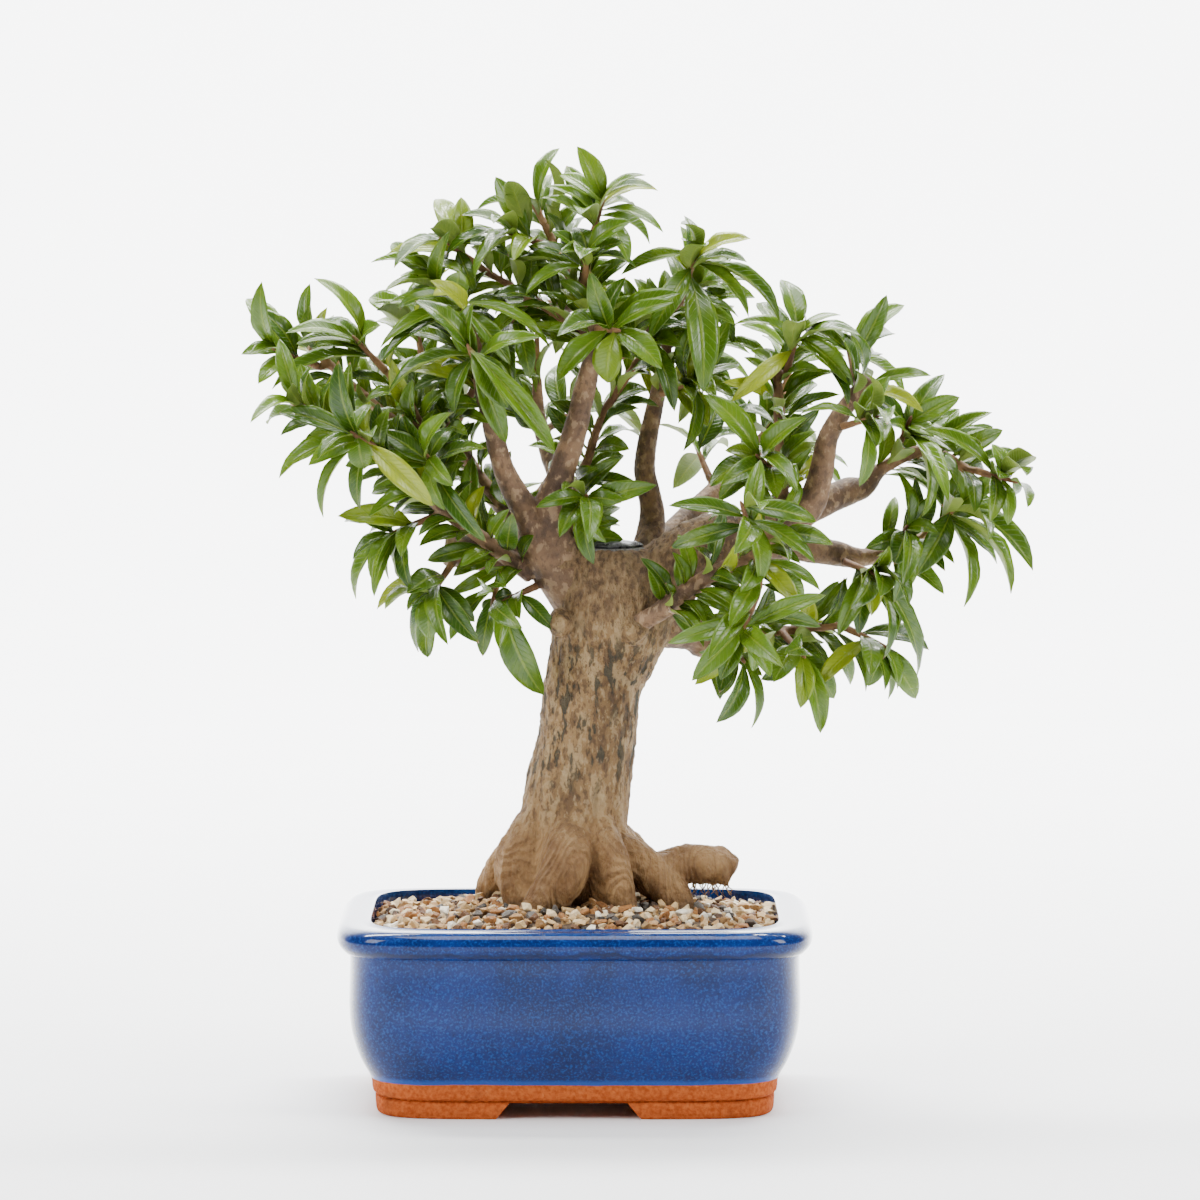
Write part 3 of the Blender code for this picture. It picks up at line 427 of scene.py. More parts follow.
# %% [markdown]
# ## The plan of the pot and of the tree
# These are the sizes that the solid model was built from, in millimetres. The pot's profile is read
# as (distance in from the lip's edge, height). Each root and limb is a row of stations: x, y, z, radius.

# %% Pot sizes
POT_HALF_X = 118.0  # over the lip
POT_HALF_Y = 103.0
POT_SQUARENESS = 6.4  # exponent of the superellipse that the pot's plan follows
POT_OUTSIDE = (
    (20.0, 0.0), (19.0, 1.2), (18.6, 7.5), (20.0, 8.8), (17.4, 10.5), (16.8, 15.5), (15.4, 19.0),
    (11.6, 26.0), (8.6, 34.0), (6.6, 43.0), (5.8, 55.0), (6.2, 78.0), (3.6, 80.5), (0.8, 84.0),
    (0.0, 87.5), (0.8, 90.8), (3.4, 93.2), (6.5, 94.0),
)
POT_INSIDE = ((14.5, 93.6), (17.0, 91.5), (17.6, 60.0), (22.0, 22.0), (30.0, 16.0))
POT_UNDER = ((34.0, 9.5), (33.0, 0.0))  # the hollow between the feet, then the foot's inner edge
NOTCH_TOP = 8.2
NOTCH_HALF_LENGTHS = ((36.5, 29.0), (31.0, 24.0))  # low and high, front and back, then the sides
NOTCH_SHIFT = -3.0
DRAIN_X = 42.0
DRAIN_RADIUS = 9.0
SOIL_INSET = 18.6
SOIL_EDGE_Z = 90.5
SOIL_CROWN = 9.5  # how much the mound stands above its edge
SOIL_BOTTOM_Z = 16.6
SEAL_CENTRE = (19, 8)
SEAL_RADII = ((13.5, 0.0), (14.5, 1.2), (12.5, 2.6), (6.5, 3.6))

# %% Trunk, roots and limbs
TRUNK = (
    (-2, 12, 84, 20), (-2, 12, 104, 24), (-1.5, 12, 120, 26.2), (-1, 12, 135, 27),
    (0.5, 12, 150, 26.8), (3.5, 12, 165, 25.6), (6, 12, 180, 24.8), (7.5, 12, 195, 24.4),
    (10, 12, 210, 24.6), (14.5, 12, 225, 27), (18, 12, 240, 29.5), (19, 12, 254, 28.5),
    (18, 12, 266, 25.5), (18, 12, 275.5, 21),
)
ROOTS = (
    ((-2, -5, 141, 9), (-4, -13, 126, 12.5), (-7, -18, 112, 12.5), (-16, -21, 101, 8.5), (-24, -23, 91, 5)),
    ((-15, 6, 138, 13), (-23, 3, 126, 14.5), (-26, 0, 114, 14), (-25, -3, 102, 12), (-23, -5, 90, 9)),
    ((13, -7, 140, 6), (17, -13, 128, 7.8), (21, -17, 114, 7.6), (24.5, -20, 102, 6.2), (28, -22, 91, 4)),
    ((7, -7, 137, 6), (11, -11, 124, 6.8), (14, -12, 110, 6.6), (15, -12, 92, 6)),
    ((16, 4, 128, 11), (30, 0, 119, 10.4), (42, -3, 109, 10), (50, -4, 99, 9), (54, -6, 90, 7)),
    ((37, 2, 108, 9), (47, 4, 114, 9.8), (60, 5, 117, 9.6), (71, 5, 115.5, 9.4), (80, 5, 112, 8.2)),
    ((-22, 24, 128, 12), (-33, 36, 112, 11), (-42, 46, 99, 8.5), (-48, 53, 90, 5)),
    ((12, 34, 128, 12), (20, 45, 112, 11), (29, 57, 99, 8), (34, 65, 90, 5)),
    ((20, 24, 128, 10), (34, 33, 113, 9.5), (47, 40, 101, 7), (56, 45, 91, 4.5)),
)
LIMBS = {
    "right": ((26, 12, 246, 20), (57, 8, 270, 17.5), (74, 6, 279, 16), (84, 5, 284, 12.5)),
    "right_bend": (
        (74, 4, 280, 11), (95, 2, 285, 9.5), (110, 2, 291, 8.6), (119, 1, 300, 7.4), (124, 0, 318, 6),
        (128, -2, 335, 5.2), (146, -6, 362, 3.6),
    ),
    "right_low": (
        (74, 12, 276, 9), (102, 24, 276, 7.4), (128, 33, 272, 6.8), (144, 38, 269, 5), (160, 40, 272, 3.2),
        (176, 40, 279, 2.6),
    ),
    "right_back": (
        (104, 8, 289, 8), (135, 28, 302, 7.4), (146, 33, 305, 5.6), (156, 33, 315, 3.6), (178, 26, 324, 3),
        (198, 18, 314, 2.4),
    ),
    "right_upright": ((104, 8, 288, 4.4), (103, 12, 330, 3.1), (101, 12, 371, 2.3)),
    "right_under": ((30, 20, 236, 13), (56, 34, 233, 10.5), (66, 40, 224, 8)),
    "right_under_twig": ((56, 34, 233, 4), (76, 38, 230, 3), (107, 36, 232, 2.5), (132, 30, 235, 2.2)),
    "front_stub": ((22, -8, 235, 5.6), (48, -20, 248, 4.2)),
    "front": (
        (32, -10, 238, 4.6), (62, -24, 261, 4), (80, -29, 271, 3.8),
        (89, -31, 276, 3), (101, -34, 288, 2.2),
    ),
    "front_twig": ((88, -31, 275, 2.6), (92, -34, 268, 2.2), (91, -35, 258, 1.9)),
    "left": ((4, 12, 258, 14), (-20, 10, 269, 9.4), (-42, 8, 272, 8.6), (-65, 6, 275, 8.2)),
    "left_front": (
        (-22, 4, 262, 4.6), (-42, -6, 278, 3.9), (-67, -15, 298, 3.6), (-87, -22, 317, 3),
        (-104, -28, 330, 2.7), (-140, -34, 351, 2),
    ),
    "left_back": (
        (-14, 18, 270, 6), (-37, 28, 295, 4.2), (-50, 31, 312, 3.7),
        (-60, 35, 330, 3.2), (-76, 40, 362, 2.4),
    ),
    "left_fork": (
        (-66, -14, 297, 3.4), (-73, -6, 315, 3.4), (-75, -2, 330, 3.2),
        (-84, 0, 350, 2.7), (-92, 0, 361, 2.2),
    ),
    "left_fork_stub": ((-75, -1, 328, 2.9), (-100, 5, 347, 2.6), (-133, 8, 377, 2.2)),
    "left_fork_twig": ((-73, 0, 325, 2.6), (-58, 6, 342, 2.3), (-50, 10, 358, 2)),
    "tall_left": (
        (2, 8, 250, 14), (-14, 2, 272, 11.5), (-22, -4, 290, 8), (-35, -10, 315, 5.6), (-42, -12, 340, 4.7),
        (-47, -14, 360, 3.8), (-49, -14, 378, 2.8),
    ),
    "tall_left_twig": ((-47, -13, 358, 2.6), (-56, -2, 374, 2.3), (-60, 4, 388, 2)),
    "tall": (
        (-8, 4, 268, 12), (-13, -1, 291, 9.6), (-8, -4, 310, 7.2), (0, -4, 335, 6), (7, -4, 365, 5),
        (10, -4, 379, 4.4), (9, -6, 400, 2.4),
    ),
    "tall_side": ((8, -2, 374, 3.4), (-5, 3, 390, 2.6), (-22, 7, 401, 2.2), (-44, 9, 414, 1.9)),
    "tall_top": ((8, -2, 376, 3.8), (4, 2, 400, 2.9), (6, 1, 422, 2.6)),
    "tall_spike": ((4, 3, 396, 2.8), (-5, 12, 417, 2.3), (-21, 18, 449, 1.9)),
    "tall_right": ((10, -3, 374, 3.8), (25, 4, 374, 3.1), (40, 6, 387, 2.7), (53, 4, 400, 2.3)),
    "middle_back": (
        (34, 22, 262, 10), (39, 32, 290, 6.6), (35, 35, 315, 5.4), (39, 35, 340, 4.6), (44, 33, 362, 3.8),
        (47, 31, 384, 2.6),
    ),
    "middle_twig": (
        (-2, 14, 270, 4), (1, 18, 302, 2.9), (7, 20, 322, 2.6),
        (14, 22, 342, 2.3), (28, 22, 364, 1.9),
    ),
    "back": (
        (14, 28, 258, 12), (6, 56, 284, 7.6), (-8, 82, 306, 5.6),
        (-18, 98, 332, 4), (-20, 106, 356, 2.6),
    ),
    "back_right": (
        (28, 26, 255, 11), (54, 60, 284, 7), (76, 84, 304, 5.2),
        (94, 96, 322, 3.8), (104, 100, 342, 2.6),
    ),
    "back_left": ((2, 24, 262, 9), (-30, 52, 290, 5.8), (-58, 70, 310, 4.2), (-82, 78, 328, 2.8)),
}

# %% [markdown]
# ## Making round limbs
# A limb is a tube through a few stations. A smooth curve through them (Catmull-Rom) gives the
# finer rings, and a frame carried along from ring to ring keeps the tube from twisting.

# %% Smooth tubes
def swung(side, across, angle):
    """A direction at an angle between two that stand square to each other."""
    return side * math.cos(angle) + across * math.sin(angle)


def smooth_route(stations, steps):
    ends = [stations[0], *stations, stations[-1]]
    found = []
    for i in range(len(stations) - 1):
        a, b, c, d = (Vector(s) for s in ends[i : i + 4])
        for k in range(steps):
            t = k / steps
            found.append(0.5 * (
                2 * b + (c - a) * t + (2 * a - 5 * b + 4 * c - d) * t * t + (3 * b - a - 3 * c + d) * t ** 3
            ))  # fmt: skip
    return [*found, Vector(stations[-1])]


def tube(stations, sides=12, steps=4, swell=None):
    """Points and faces of a closed tube. swell(share) can change the radius along it."""
    route = smooth_route([Vector(s) for s in stations], steps)
    points, faces, side = [], [], None
    for i, station in enumerate(route):
        middle, radius = station.xyz, station.w
        ahead, behind = route[min(i + 1, len(route) - 1)].xyz, route[max(i - 1, 0)].xyz
        along = (ahead - behind).normalized()
        side = along.orthogonal() if side is None else side - along * side.dot(along)
        side.normalize()
        across = along.cross(side)
        if swell:
            radius *= swell(i / (len(route) - 1))
        for k in range(sides):
            angle = 2 * math.pi * k / sides
            points.append(middle + swung(side, across, angle) * radius)
    for i in range(len(route) - 1):
        for k in range(sides):
            low, high, n = i * sides, (i + 1) * sides, (k + 1) % sides
            faces.append((low + k, low + n, high + n, high + k))
    faces.append(tuple(reversed(range(sides))))
    faces.append(tuple(range((len(route) - 1) * sides, len(route) * sides)))
    return points, faces


def gathered(parts):
    """Several (points, faces) as one."""
    points, faces = [], []
    for more_points, more_faces in parts:
        base = len(points)
        points.extend(more_points)
        faces.extend(tuple(base + i for i in face) for face in more_faces)
    return points, faces


def fused(name, parts, voxel, look, smoothing=2):
    """One skin round closed parts that run into each other, as wood grows."""
    made = mesh_object(name, *gathered(parts), look)
    remesh = made.modifiers.new("skin", "REMESH")
    remesh.mode = "VOXEL"
    remesh.voxel_size = voxel * MM
    remesh.use_smooth_shade = True
    smooth = made.modifiers.new("soften", "SMOOTH")
    smooth.factor = 0.6
    smooth.iterations = smoothing
    return plain_mesh(made)


def roughened(obj, relief):
    """Pushes each point of a mesh out along its normal by relief(point in pot mm), in millimetres."""
    mesh = obj.data
    normals = [v.normal.copy() for v in mesh.vertices]
    for vertex, normal in zip(mesh.vertices, normals):
        vertex.co += normal * relief((vertex.co - POT_MIDDLE) / MM) * MM
    mesh.shade_smooth()
    mesh.update()
    return obj


# %% [markdown]
# ## Planning the crown
# Each leafy shoot grows from a spur on the nearest limb. The leaves that show most are placed one by
# one. The rest come from a rule: pairs up the stem, each pair turned on the last, each leaf kept clear
# of all that already stands. The draws are seeded, so the plan comes out the same every time.

# %% Shoots and their leaves
SHOOTS = {
    "top": ((6, 1, 424), (14.5, -6, 452), 5, (
        (1.0, 1, -10, 477, 10), (0.95, -8, 2, 463, 9), (0.7, -15, -14, 457, 8), (0.5, -17, 8, 451, 7),
        (1.0, 39, -8, 457, 8), (0.9, 30, 16, 446, 9), (0.85, 44, -16, 435, 8), (0.7, 38, 8, 429, 9),
        (0.6, 27, -22, 420, 10))),
    "crown": ((4, 1, 402), (5, -8, 412), 5, (
        (0.9, 1, -8, 437, 13), (0.6, 15, -10, 434, 12), (0.2, -23, -10, 428, 7), (0.1, -36, 4, 417, 7),
        (0.5, -25, -16, 404, 8), (0.6, 31, -12, 417, 7))),
    "spike": ((-10, 12, 426), (-22, 6, 430), 7, ((0.8, -57, 4, 443, 8), (0.4, -30, 16, 436, 7))),
    "side_tip": ((-44, 9, 414), (-52, 8, 420), 6, (
        (0.8, -33, 2, 423, 9), (0.9, -37, 10, 431, 7), (1.0, -60, 12, 428, 7), (0.6, -50, -6, 405, 7))),
    "side_mid": ((-22, 7, 402), (-30, 0, 392), 8, ((0.8, -58, -6, 384, 8), (0.5, -9, -8, 380, 8))),
    "up_left": ((-60, 4, 388), (-72, 0, 418), 7, (
        (1.0, -81, -6, 423, 9), (1.0, -56, -10, 414, 10), (0.95, -102, 2, 419, 7), (0.9, -84, -8, 411, 8),
        (0.6, -88, 6, 396, 7))),
    "left_top": ((-49, -14, 379), (-55, -17, 396), 4, (
        (1.0, -57, -22, 415, 13), (0.8, -97, -20, 378, 8), (0.8, -12, -22, 378, 8), (0.7, -32, -26, 369, 10),
        (0.4, -96, -24, 371, 8), (0.9, -70, -28, 404, 10))),
    "left_low": ((-46, -18, 362), (-48, -24, 367), 4, (
        (0.7, -60, -30, 345, 11), (0.9, -33, -36, 348, 14), (0.8, -93, -32, 356, 9), (0.9, -10, -30, 326, 9),
        (0.5, -34, -26, 330, 10))),
    "far_left": ((-92, 0, 362), (-104, -5, 375), 5, (
        (0.9, -129, -6, 412, 12), (0.9, -139, -12, 379, 8), (0.9, -97, -10, 391, 11),
        (0.3, -151, -14, 358, 9), (1.0, -123, 6, 390, 9))),
    "left_end": ((-118, 6, 363), (-131, 4, 368), 6, ((0.9, -167, 2, 373, 9), (0.5, -140, 14, 350, 8))),
    "left_tuft": ((-98, -32, 326), (-106, -44, 333), 6, (
        (0.9, -147, -30, 345, 10), (0.8, -147, -38, 314, 10), (0.9, -104, -44, 318, 11),
        (0.5, -70, -46, 300, 12), (1.0, -101, -36, 350, 7), (0.6, -126, -34, 294, 8),
        (0.3, -107, -38, 298, 8))),
    "left_mid": ((-70, -10, 312), (-71, -18, 316), 6, (
        (0.8, -60, -26, 338, 12), (0.8, -64, -34, 297, 9), (0.5, -44, -34, 281, 9))),
    "left_droop": ((-72, -12, 292), (-90, -14, 285), 7, (
        (1.0, -106, -16, 291, 7), (1.0, -111, -18, 272, 7), (0.9, -101, -22, 266, 7), (0.7, -93, -8, 261, 8),
        (0.6, -82, -24, 257, 8))),
    "left_hang": ((-62, -2, 268), (-66, -7, 262), 6, (
        (0.9, -72, -14, 231, 14), (1.0, -74, -4, 222, 8), (0.6, -50, -14, 240, 9), (0.8, -84, -12, 246, 8))),
    "left_under": ((-38, 4, 262), (-39, -2, 258), 5, ((0.9, -31, -14, 252, 8), (0.8, -45, -6, 244, 6))),
    "trunk_hang": ((-13, 2, 260), (-20, -3, 257), 3, (
        (1.0, -16, -12, 203, 15), (0.8, -30, 6, 222, 11), (0.5, -10, -16, 236, 8))),
    "centre_low": ((4, 10, 296), (5, -2, 300), 6, (
        (1.0, 9, -16, 269, 10), (0.8, 23, -14, 300, 8), (0.7, -6, -6, 315, 8), (0.8, -19, -12, 302, 8))),
    "centre": ((9, -6, 386), (13, -14, 386), 5, (
        (0.7, -9, -20, 361, 12), (1.0, 16, -24, 359, 14), (1.0, 27, -22, 376, 9), (0.9, 43, -22, 366, 12))),
    "right_top": ((53, 4, 401), (58, 0, 416), 5, (
        (0.9, 103, -2, 391, 8), (0.8, 87, -14, 394, 8), (0.9, 77, 6, 414, 9), (1.0, 54, -12, 430, 10),
        (0.9, 23, -6, 414, 8), (0.6, 37, -22, 382, 11), (0.3, 64, -20, 355, 15))),
    "right_top_back": ((47, 31, 385), (56, 30, 398), 9, ((0.8, 80, 20, 378, 9), (0.9, 78, 34, 404, 8))),
    "middle_right": ((43, 28, 352), (52, 20, 356), 9, ((0.9, 55, 2, 325, 8), (0.8, 80, 10, 352, 9))),
    "middle": ((28, 22, 364), (35, 15, 375), 9, ((0.7, 50, 0, 345, 8),)),
    "right_crown": ((103, 12, 352), (108, 8, 371), 6, (
        (1.0, 115, 2, 393, 12), (0.9, 80, 2, 389, 8), (0.9, 139, -6, 357, 9), (0.7, 137, -12, 348, 10),
        (0.5, 78, -8, 350, 9))),
    "right_stub": ((141, -5, 356), (139, 4, 366), 6, ((1.0, 135, 0, 384, 8), (0.7, 166, 8, 351, 9))),
    "right_elbow": ((129, -5, 336), (138, -14, 339), 6, (
        (0.9, 150, -22, 328, 8), (0.8, 142, -20, 308, 7), (0.9, 158, -12, 345, 8), (0.5, 112, -20, 345, 8))),
    "right_inner": ((102, 8, 312), (96, -4, 318), 8, ((0.8, 75, -14, 326, 9), (0.5, 72, -4, 300, 12))),
    "right_over": ((160, 30, 318), (166, 18, 334), 7, (
        (0.9, 180, 6, 332, 10), (0.8, 174, 0, 292, 10), (0.4, 186, 4, 302, 9), (1.0, 162, 24, 356, 8))),
    "right_far": ((198, 18, 315), (206, 12, 313), 5, (
        (0.9, 209, 8, 328, 9), (1.0, 219, 14, 300, 9), (0.4, 175, 4, 336, 9), (0.8, 217, 4, 290, 8),
        (0.9, 222, 18, 322, 6))),
    "right_sweep": ((176, 38, 280), (189, 28, 292), 5, (
        (1.0, 231, 14, 265, 11), (0.95, 219, 28, 286, 8), (0.8, 221, 20, 253, 10), (0.7, 197, 14, 246, 9),
        (0.8, 172, 12, 262, 13), (0.6, 214, 36, 266, 9))),
    "right_face": ((162, 36, 274), (166, 18, 284), 6, (
        (0.9, 160, 2, 268, 12), (0.8, 160, 10, 248, 12), (1.0, 182, 6, 284, 10), (0.7, 146, 4, 276, 9))),
    "right_drop": ((134, 30, 268), (146, 18, 264), 6, (
        (0.9, 156, 6, 220, 11), (1.0, 174, 14, 216, 9), (0.6, 132, 4, 232, 9), (0.9, 166, 2, 244, 9))),
    "under_tip": ((132, 30, 236), (141, 26, 232), 7, ((0.9, 148, 18, 205, 9), (0.6, 122, 14, 206, 9))),
    "under_mid": ((104, 34, 232), (108, 26, 228), 6, (
        (0.9, 124, 12, 182, 10), (1.0, 113, 20, 196, 9), (0.6, 94, 20, 208, 9))),
    "under_near": ((76, 36, 230), (79, 28, 226), 6, ((0.9, 90, 18, 184, 8), (0.8, 72, 22, 200, 10))),
    "front_high": ((90, -32, 278), (88, -36, 284), 4, (
        (0.3, 47, -42, 279, 8), (0.9, 120, -42, 292, 9), (0.8, 66, -34, 292, 8), (0.5, 119, -46, 272, 8),
        (0.7, 92, -46, 262, 9))),
    "front_low": ((91, -35, 257), (89, -37, 252), 4, (
        (0.6, 46, -46, 232, 8), (0.8, 58, -52, 214, 10), (0.9, 72, -50, 214, 9), (0.8, 124, -46, 256, 8),
        (0.9, 97, -52, 216, 10), (0.5, 122, -40, 240, 8))),
    "back_low": ((-8, 84, 314), (-14, 98, 306), 5, ()),
    "back_top": ((-20, 106, 357), (-20, 106, 376), 6, ()),
    "back_mid": ((-14, 92, 332), (2, 102, 342), 5, ()),
    "back_right_top": ((104, 100, 343), (110, 102, 360), 6, ()),
    "back_right_mid": ((90, 96, 322), (104, 104, 318), 5, ()),
    "back_right_in": ((70, 80, 304), (64, 92, 318), 5, ()),
    "back_left_top": ((-82, 78, 329), (-92, 80, 342), 6, ()),
    "back_left_mid": ((-58, 72, 314), (-66, 84, 318), 5, ()),
    "left_back_top": ((-76, 40, 363), (-80, 42, 382), 9, ()),
    "left_back_mid": ((-60, 36, 338), (-64, 50, 350), 9, ()),
    "inner_top": ((-3, 14, 396), (-10, 28, 398), 8, ()),
    "inner_right": ((45, 34, 370), (56, 48, 372), 8, ()),
}
STEM_RADII = (2.0, 1.0)
STEM_SIDES = 4
STEM_SHORTEST = 22.0
SPUR_CLEAR = 3.2  # between a limb's side and the end of a spur
SPUR_STRAIGHT = 2.4  # length of the spur's end that is in line with the shoot
GAP = 0.35  # between two pieces that touch
LEAF_LENGTH = (28.0, 43.0)
LEAF_WIDTH = (9.0, 12.5)
LEAF_THICK = 1.6
LEAF_FOLD = 0.10  # how far the edges stand above the midrib, as a share of the half width
LEAF_ARCH = 0.14  # how far the midrib rises above a straight line, as a share of its length
LEAF_STATIONS = {"shown": ((0.3, 0.82), (0.66, 0.94)), "filling": ((0.46, 1.0),)}
STEM_LEAFY = (0.28, 0.98)  # the part of a stem that bears leaves
SHOWN_WIDER = 1.05
PETIOLE_HALF = 0.75
LEAF_TRIES = 14
CROWN_CENTRE = Vector((25, 30, 320))
CROWN_BOX = ((-168, 232), (-90, 126), (178, 478))
LEAF_SEED = 13
OWN_CLEAR = 0.3  # between leaves of one shoot, beyond the stalk
OTHER_CLEAR = 0.42  # between a leaf and anything else
STALK_SHARE = 0.22  # the part of a leaf that may run into its own shoot


def nearest_between(point, a, b):
    """The place nearest to a point on the line from station a to station b, and the radius there."""
    start, end = Vector(a[:3]), Vector(b[:3])
    share = (point - start).dot(end - start) / (end - start).length_squared
    share = min(1.0, max(0.0, share))
    return start.lerp(end, share), a[3] + (b[3] - a[3]) * share


def nearest_on_limbs(point):
    """How far a point is outside the nearest limb, the place on its middle line, and its radius there."""
    best = None
    for stations in LIMBS.values():
        for a, b in zip(stations, stations[1:]):
            place, radius = nearest_between(point, a, b)
            clear = (place - point).length - radius
            if best is None or clear < best[0]:
                best = (clear, place, radius)
    return best


def shoot_ends(name):
    """The end of the shoot's spur, set out far enough to clear its limb, and the tip of its stem."""
    base, tip = Vector(SHOOTS[name][0]), Vector(SHOOTS[name][1])
    along = (tip - base).normalized()
    steps = 0
    while nearest_on_limbs(base)[0] < SPUR_CLEAR and steps < 40:
        base = base + along * 0.5
        steps += 1
    if (tip - base).length < STEM_SHORTEST:
        tip = base + along * STEM_SHORTEST
    return base, tip, along


def spurs():
    """The short side twig of the tree that carries each shoot, in line with the shoot's own stem."""
    found = {}
    for name in SHOOTS:
        base, _, along = shoot_ends(name)
        _, root, radius = nearest_on_limbs(base - along * SPUR_STRAIGHT)
        thick = min(radius * 0.9, STEM_RADII[0] + 0.3)
        middle = base - along * SPUR_STRAIGHT
        found[name] = ((*root, thick), (*middle, STEM_RADII[0]), (*base, STEM_RADII[0]))
    return found


def in_crown(point):
    """Whether a point is inside the box that the crown may fill."""
    return all(low < c < high for c, (low, high) in zip(point, CROWN_BOX))


def leaf_facing(base, tip, draw):
    """Which way a leaf's upper side looks: up, forward and out of the crown, and a little to one side."""
    out = ((base + tip) / 2 - CROWN_CENTRE).normalized()
    turn = Vector((draw.uniform(-1, 1), draw.uniform(-1, 1), draw.uniform(-0.3, 1)))
    return (Vector((0, -0.6, 0.5)) + out * 0.5 + turn * 0.4).normalized()


def midrib(base, tip, facing, share):
    """A point on the leaf's midrib, and the directions along, across and out of the blade there."""
    span = tip - base
    up = (facing - span.normalized() * facing.dot(span.normalized())).normalized()
    middle = (base + tip) / 2 + up * span.length * LEAF_ARCH * 2
    point = base * (1 - share) ** 2 + middle * 2 * share * (1 - share) + tip * share**2
    along = ((middle - base) * (1 - share) + (tip - middle) * share).normalized()
    across = along.cross(up).normalized()
    return point, along, across, across.cross(along).normalized()


def blade(base, tip, facing, width, kind, grow=0.0, start=0.0):
    """Points and faces of one leaf: a folded, arched blade that ends in a point."""
    rings = []
    for share, wide in ((start, PETIOLE_HALF * 2 / width), *LEAF_STATIONS[kind]):
        point, _, across, out = midrib(base, tip, facing, share)
        half = wide * width / 2 + grow
        thick = LEAF_THICK / 2 + grow
        rise = out * (LEAF_FOLD * half)
        rings.append([point + across * half + rise, point - out * thick, point - across * half + rise])
    points = [p for ring in rings for p in ring]
    faces = [(2, 1, 0)]
    for i in range(len(rings) - 1):
        for j in range(3):
            k = (j + 1) % 3
            low, high = 3 * i, 3 * (i + 1)
            faces.append((low + j, low + k, high + k, high + j))
    end = len(points)
    points.append(tip + (tip - base).normalized() * grow)
    last = 3 * (len(rings) - 1)
    faces += [(last + j, last + (j + 1) % 3, end) for j in range(3)]
    return points, faces


def tree_of(points, faces):
    return BVHTree.FromPolygons(points, faces)


class Crown:
    """Keeps what stands in the crown, so that each new leaf can be set clear of it."""

    def __init__(self, wood):
        mesh = wood.data
        points = [(v.co - POT_MIDDLE) / MM for v in mesh.vertices]
        self.solids = [("wood", tree_of(points, [tuple(p.vertices) for p in mesh.polygons]))]

    def add(self, owner, points, faces):
        self.solids.append((owner, tree_of(points, faces)))

    def is_clear(self, owner, leaf):
        own = tree_of(*blade(*leaf, grow=OWN_CLEAR, start=STALK_SHARE))
        other = tree_of(*blade(*leaf, grow=OTHER_CLEAR))
        for name, solid in self.solids:
            if (own if name == owner else other).overlap(solid):
                return False
        return True


def rule_leaf(name, index, start, attempt, draw):
    """Tip and width of a leaf that the rule adds: opposite pairs up the stem, each turned on the last."""
    base, tip, along = shoot_ends(name)
    side = along.orthogonal().normalized()
    across = along.cross(side)
    angle = index * math.pi + (index // 2) * math.pi / 2 + draw.uniform(-0.6, 0.6) + attempt * 0.7
    out = swung(side, across, angle)
    lean = draw.uniform(0.2, 1.1)
    length = draw.uniform(*LEAF_LENGTH) * (1 - 0.03 * attempt)
    away = ((base + tip) / 2 - CROWN_CENTRE).normalized()
    direction = (along * lean + out + away * 0.3 + Vector((0, 0, draw.uniform(-0.4, 0.1)))).normalized()
    return start + direction * length, draw.uniform(*LEAF_WIDTH)


def leaf_starts(name):
    """Where the shoot's leaves leave its stem: those that show, by their own order, then the filling ones."""
    base, tip, _ = shoot_ends(name)
    _, _, filling, shown = SHOOTS[name]
    order = sorted([(leaf[0], i) for i, leaf in enumerate(shown)])
    order += [((k + 0.5) / filling, len(shown) + k) for k in range(filling)]
    low, high = STEM_LEAFY
    starts = [None] * len(order)
    for rank, (_, i) in enumerate(sorted(order)):
        starts[i] = base.lerp(tip, low + (high - low) * (rank + 0.5) / len(order))
    return starts


def plan_leaves(wood):
    """Every shoot's leaves, none through another shoot or a limb: base, tip, facing, width and kind."""
    crown = Crown(wood)
    leaves = {name: [] for name in SHOOTS}
    for name in SHOOTS:
        base, tip, along = shoot_ends(name)
        ends = ((*(base + along * GAP), STEM_RADII[0] + 0.5), (*tip, STEM_RADII[1] + 0.5))
        crown.add(name, *tube(ends, STEM_SIDES, 1))

    def place(name, base, tip, width, kind, draw):
        leaf = (base, tip, leaf_facing(base, tip, draw), width, kind)
        if not in_crown(tip) or not crown.is_clear(name, leaf):
            return False
        crown.add(name, *blade(*leaf))
        leaves[name].append(leaf)
        return True

    for order, (name, shoot) in enumerate(SHOOTS.items()):
        draw = random.Random(LEAF_SEED * 1000 + order)
        for start, (_, x, y, z, width) in zip(leaf_starts(name), shoot[3]):
            for attempt in range(LEAF_TRIES):
                shift = Vector((0, draw.uniform(-3, 3) * attempt, draw.uniform(-1, 1) * attempt))
                if place(name, start, Vector((x, y, z)) + shift, width * SHOWN_WIDER, "shown", draw):
                    break
    for order, (name, shoot) in enumerate(SHOOTS.items()):
        draw = random.Random(LEAF_SEED * 2000 + order)
        for index, start in enumerate(leaf_starts(name)[len(shoot[3]):]):
            for attempt in range(LEAF_TRIES):
                if place(name, start, *rule_leaf(name, index, start, attempt, draw), "filling", draw):
                    break
    return leaves


plan = plan_leaves(frame["nodes"]["tree"])
print("leaves planned:", sum(len(leaves) for leaves in plan.values()))

# %% [markdown]
# ## Small leaves between
# The solid model has the leaves that make the crown's outline. A living crown also has many small
# leaves on its twigs, behind and between those. They are set by the same kind of rule, clear of all else.

# %% Plan the small leaves
SMALL_LENGTH = (20.0, 36.0)
SMALL_WIDTH = (6.5, 10.5)
SMALL_EVERY = 4.6  # millimetres of twig for each pair of small leaves
SMALL_TRIES = 6
SMALL_SEED = 77
TWIG_RADIUS = 4.4  # twigs thinner than this bear small leaves


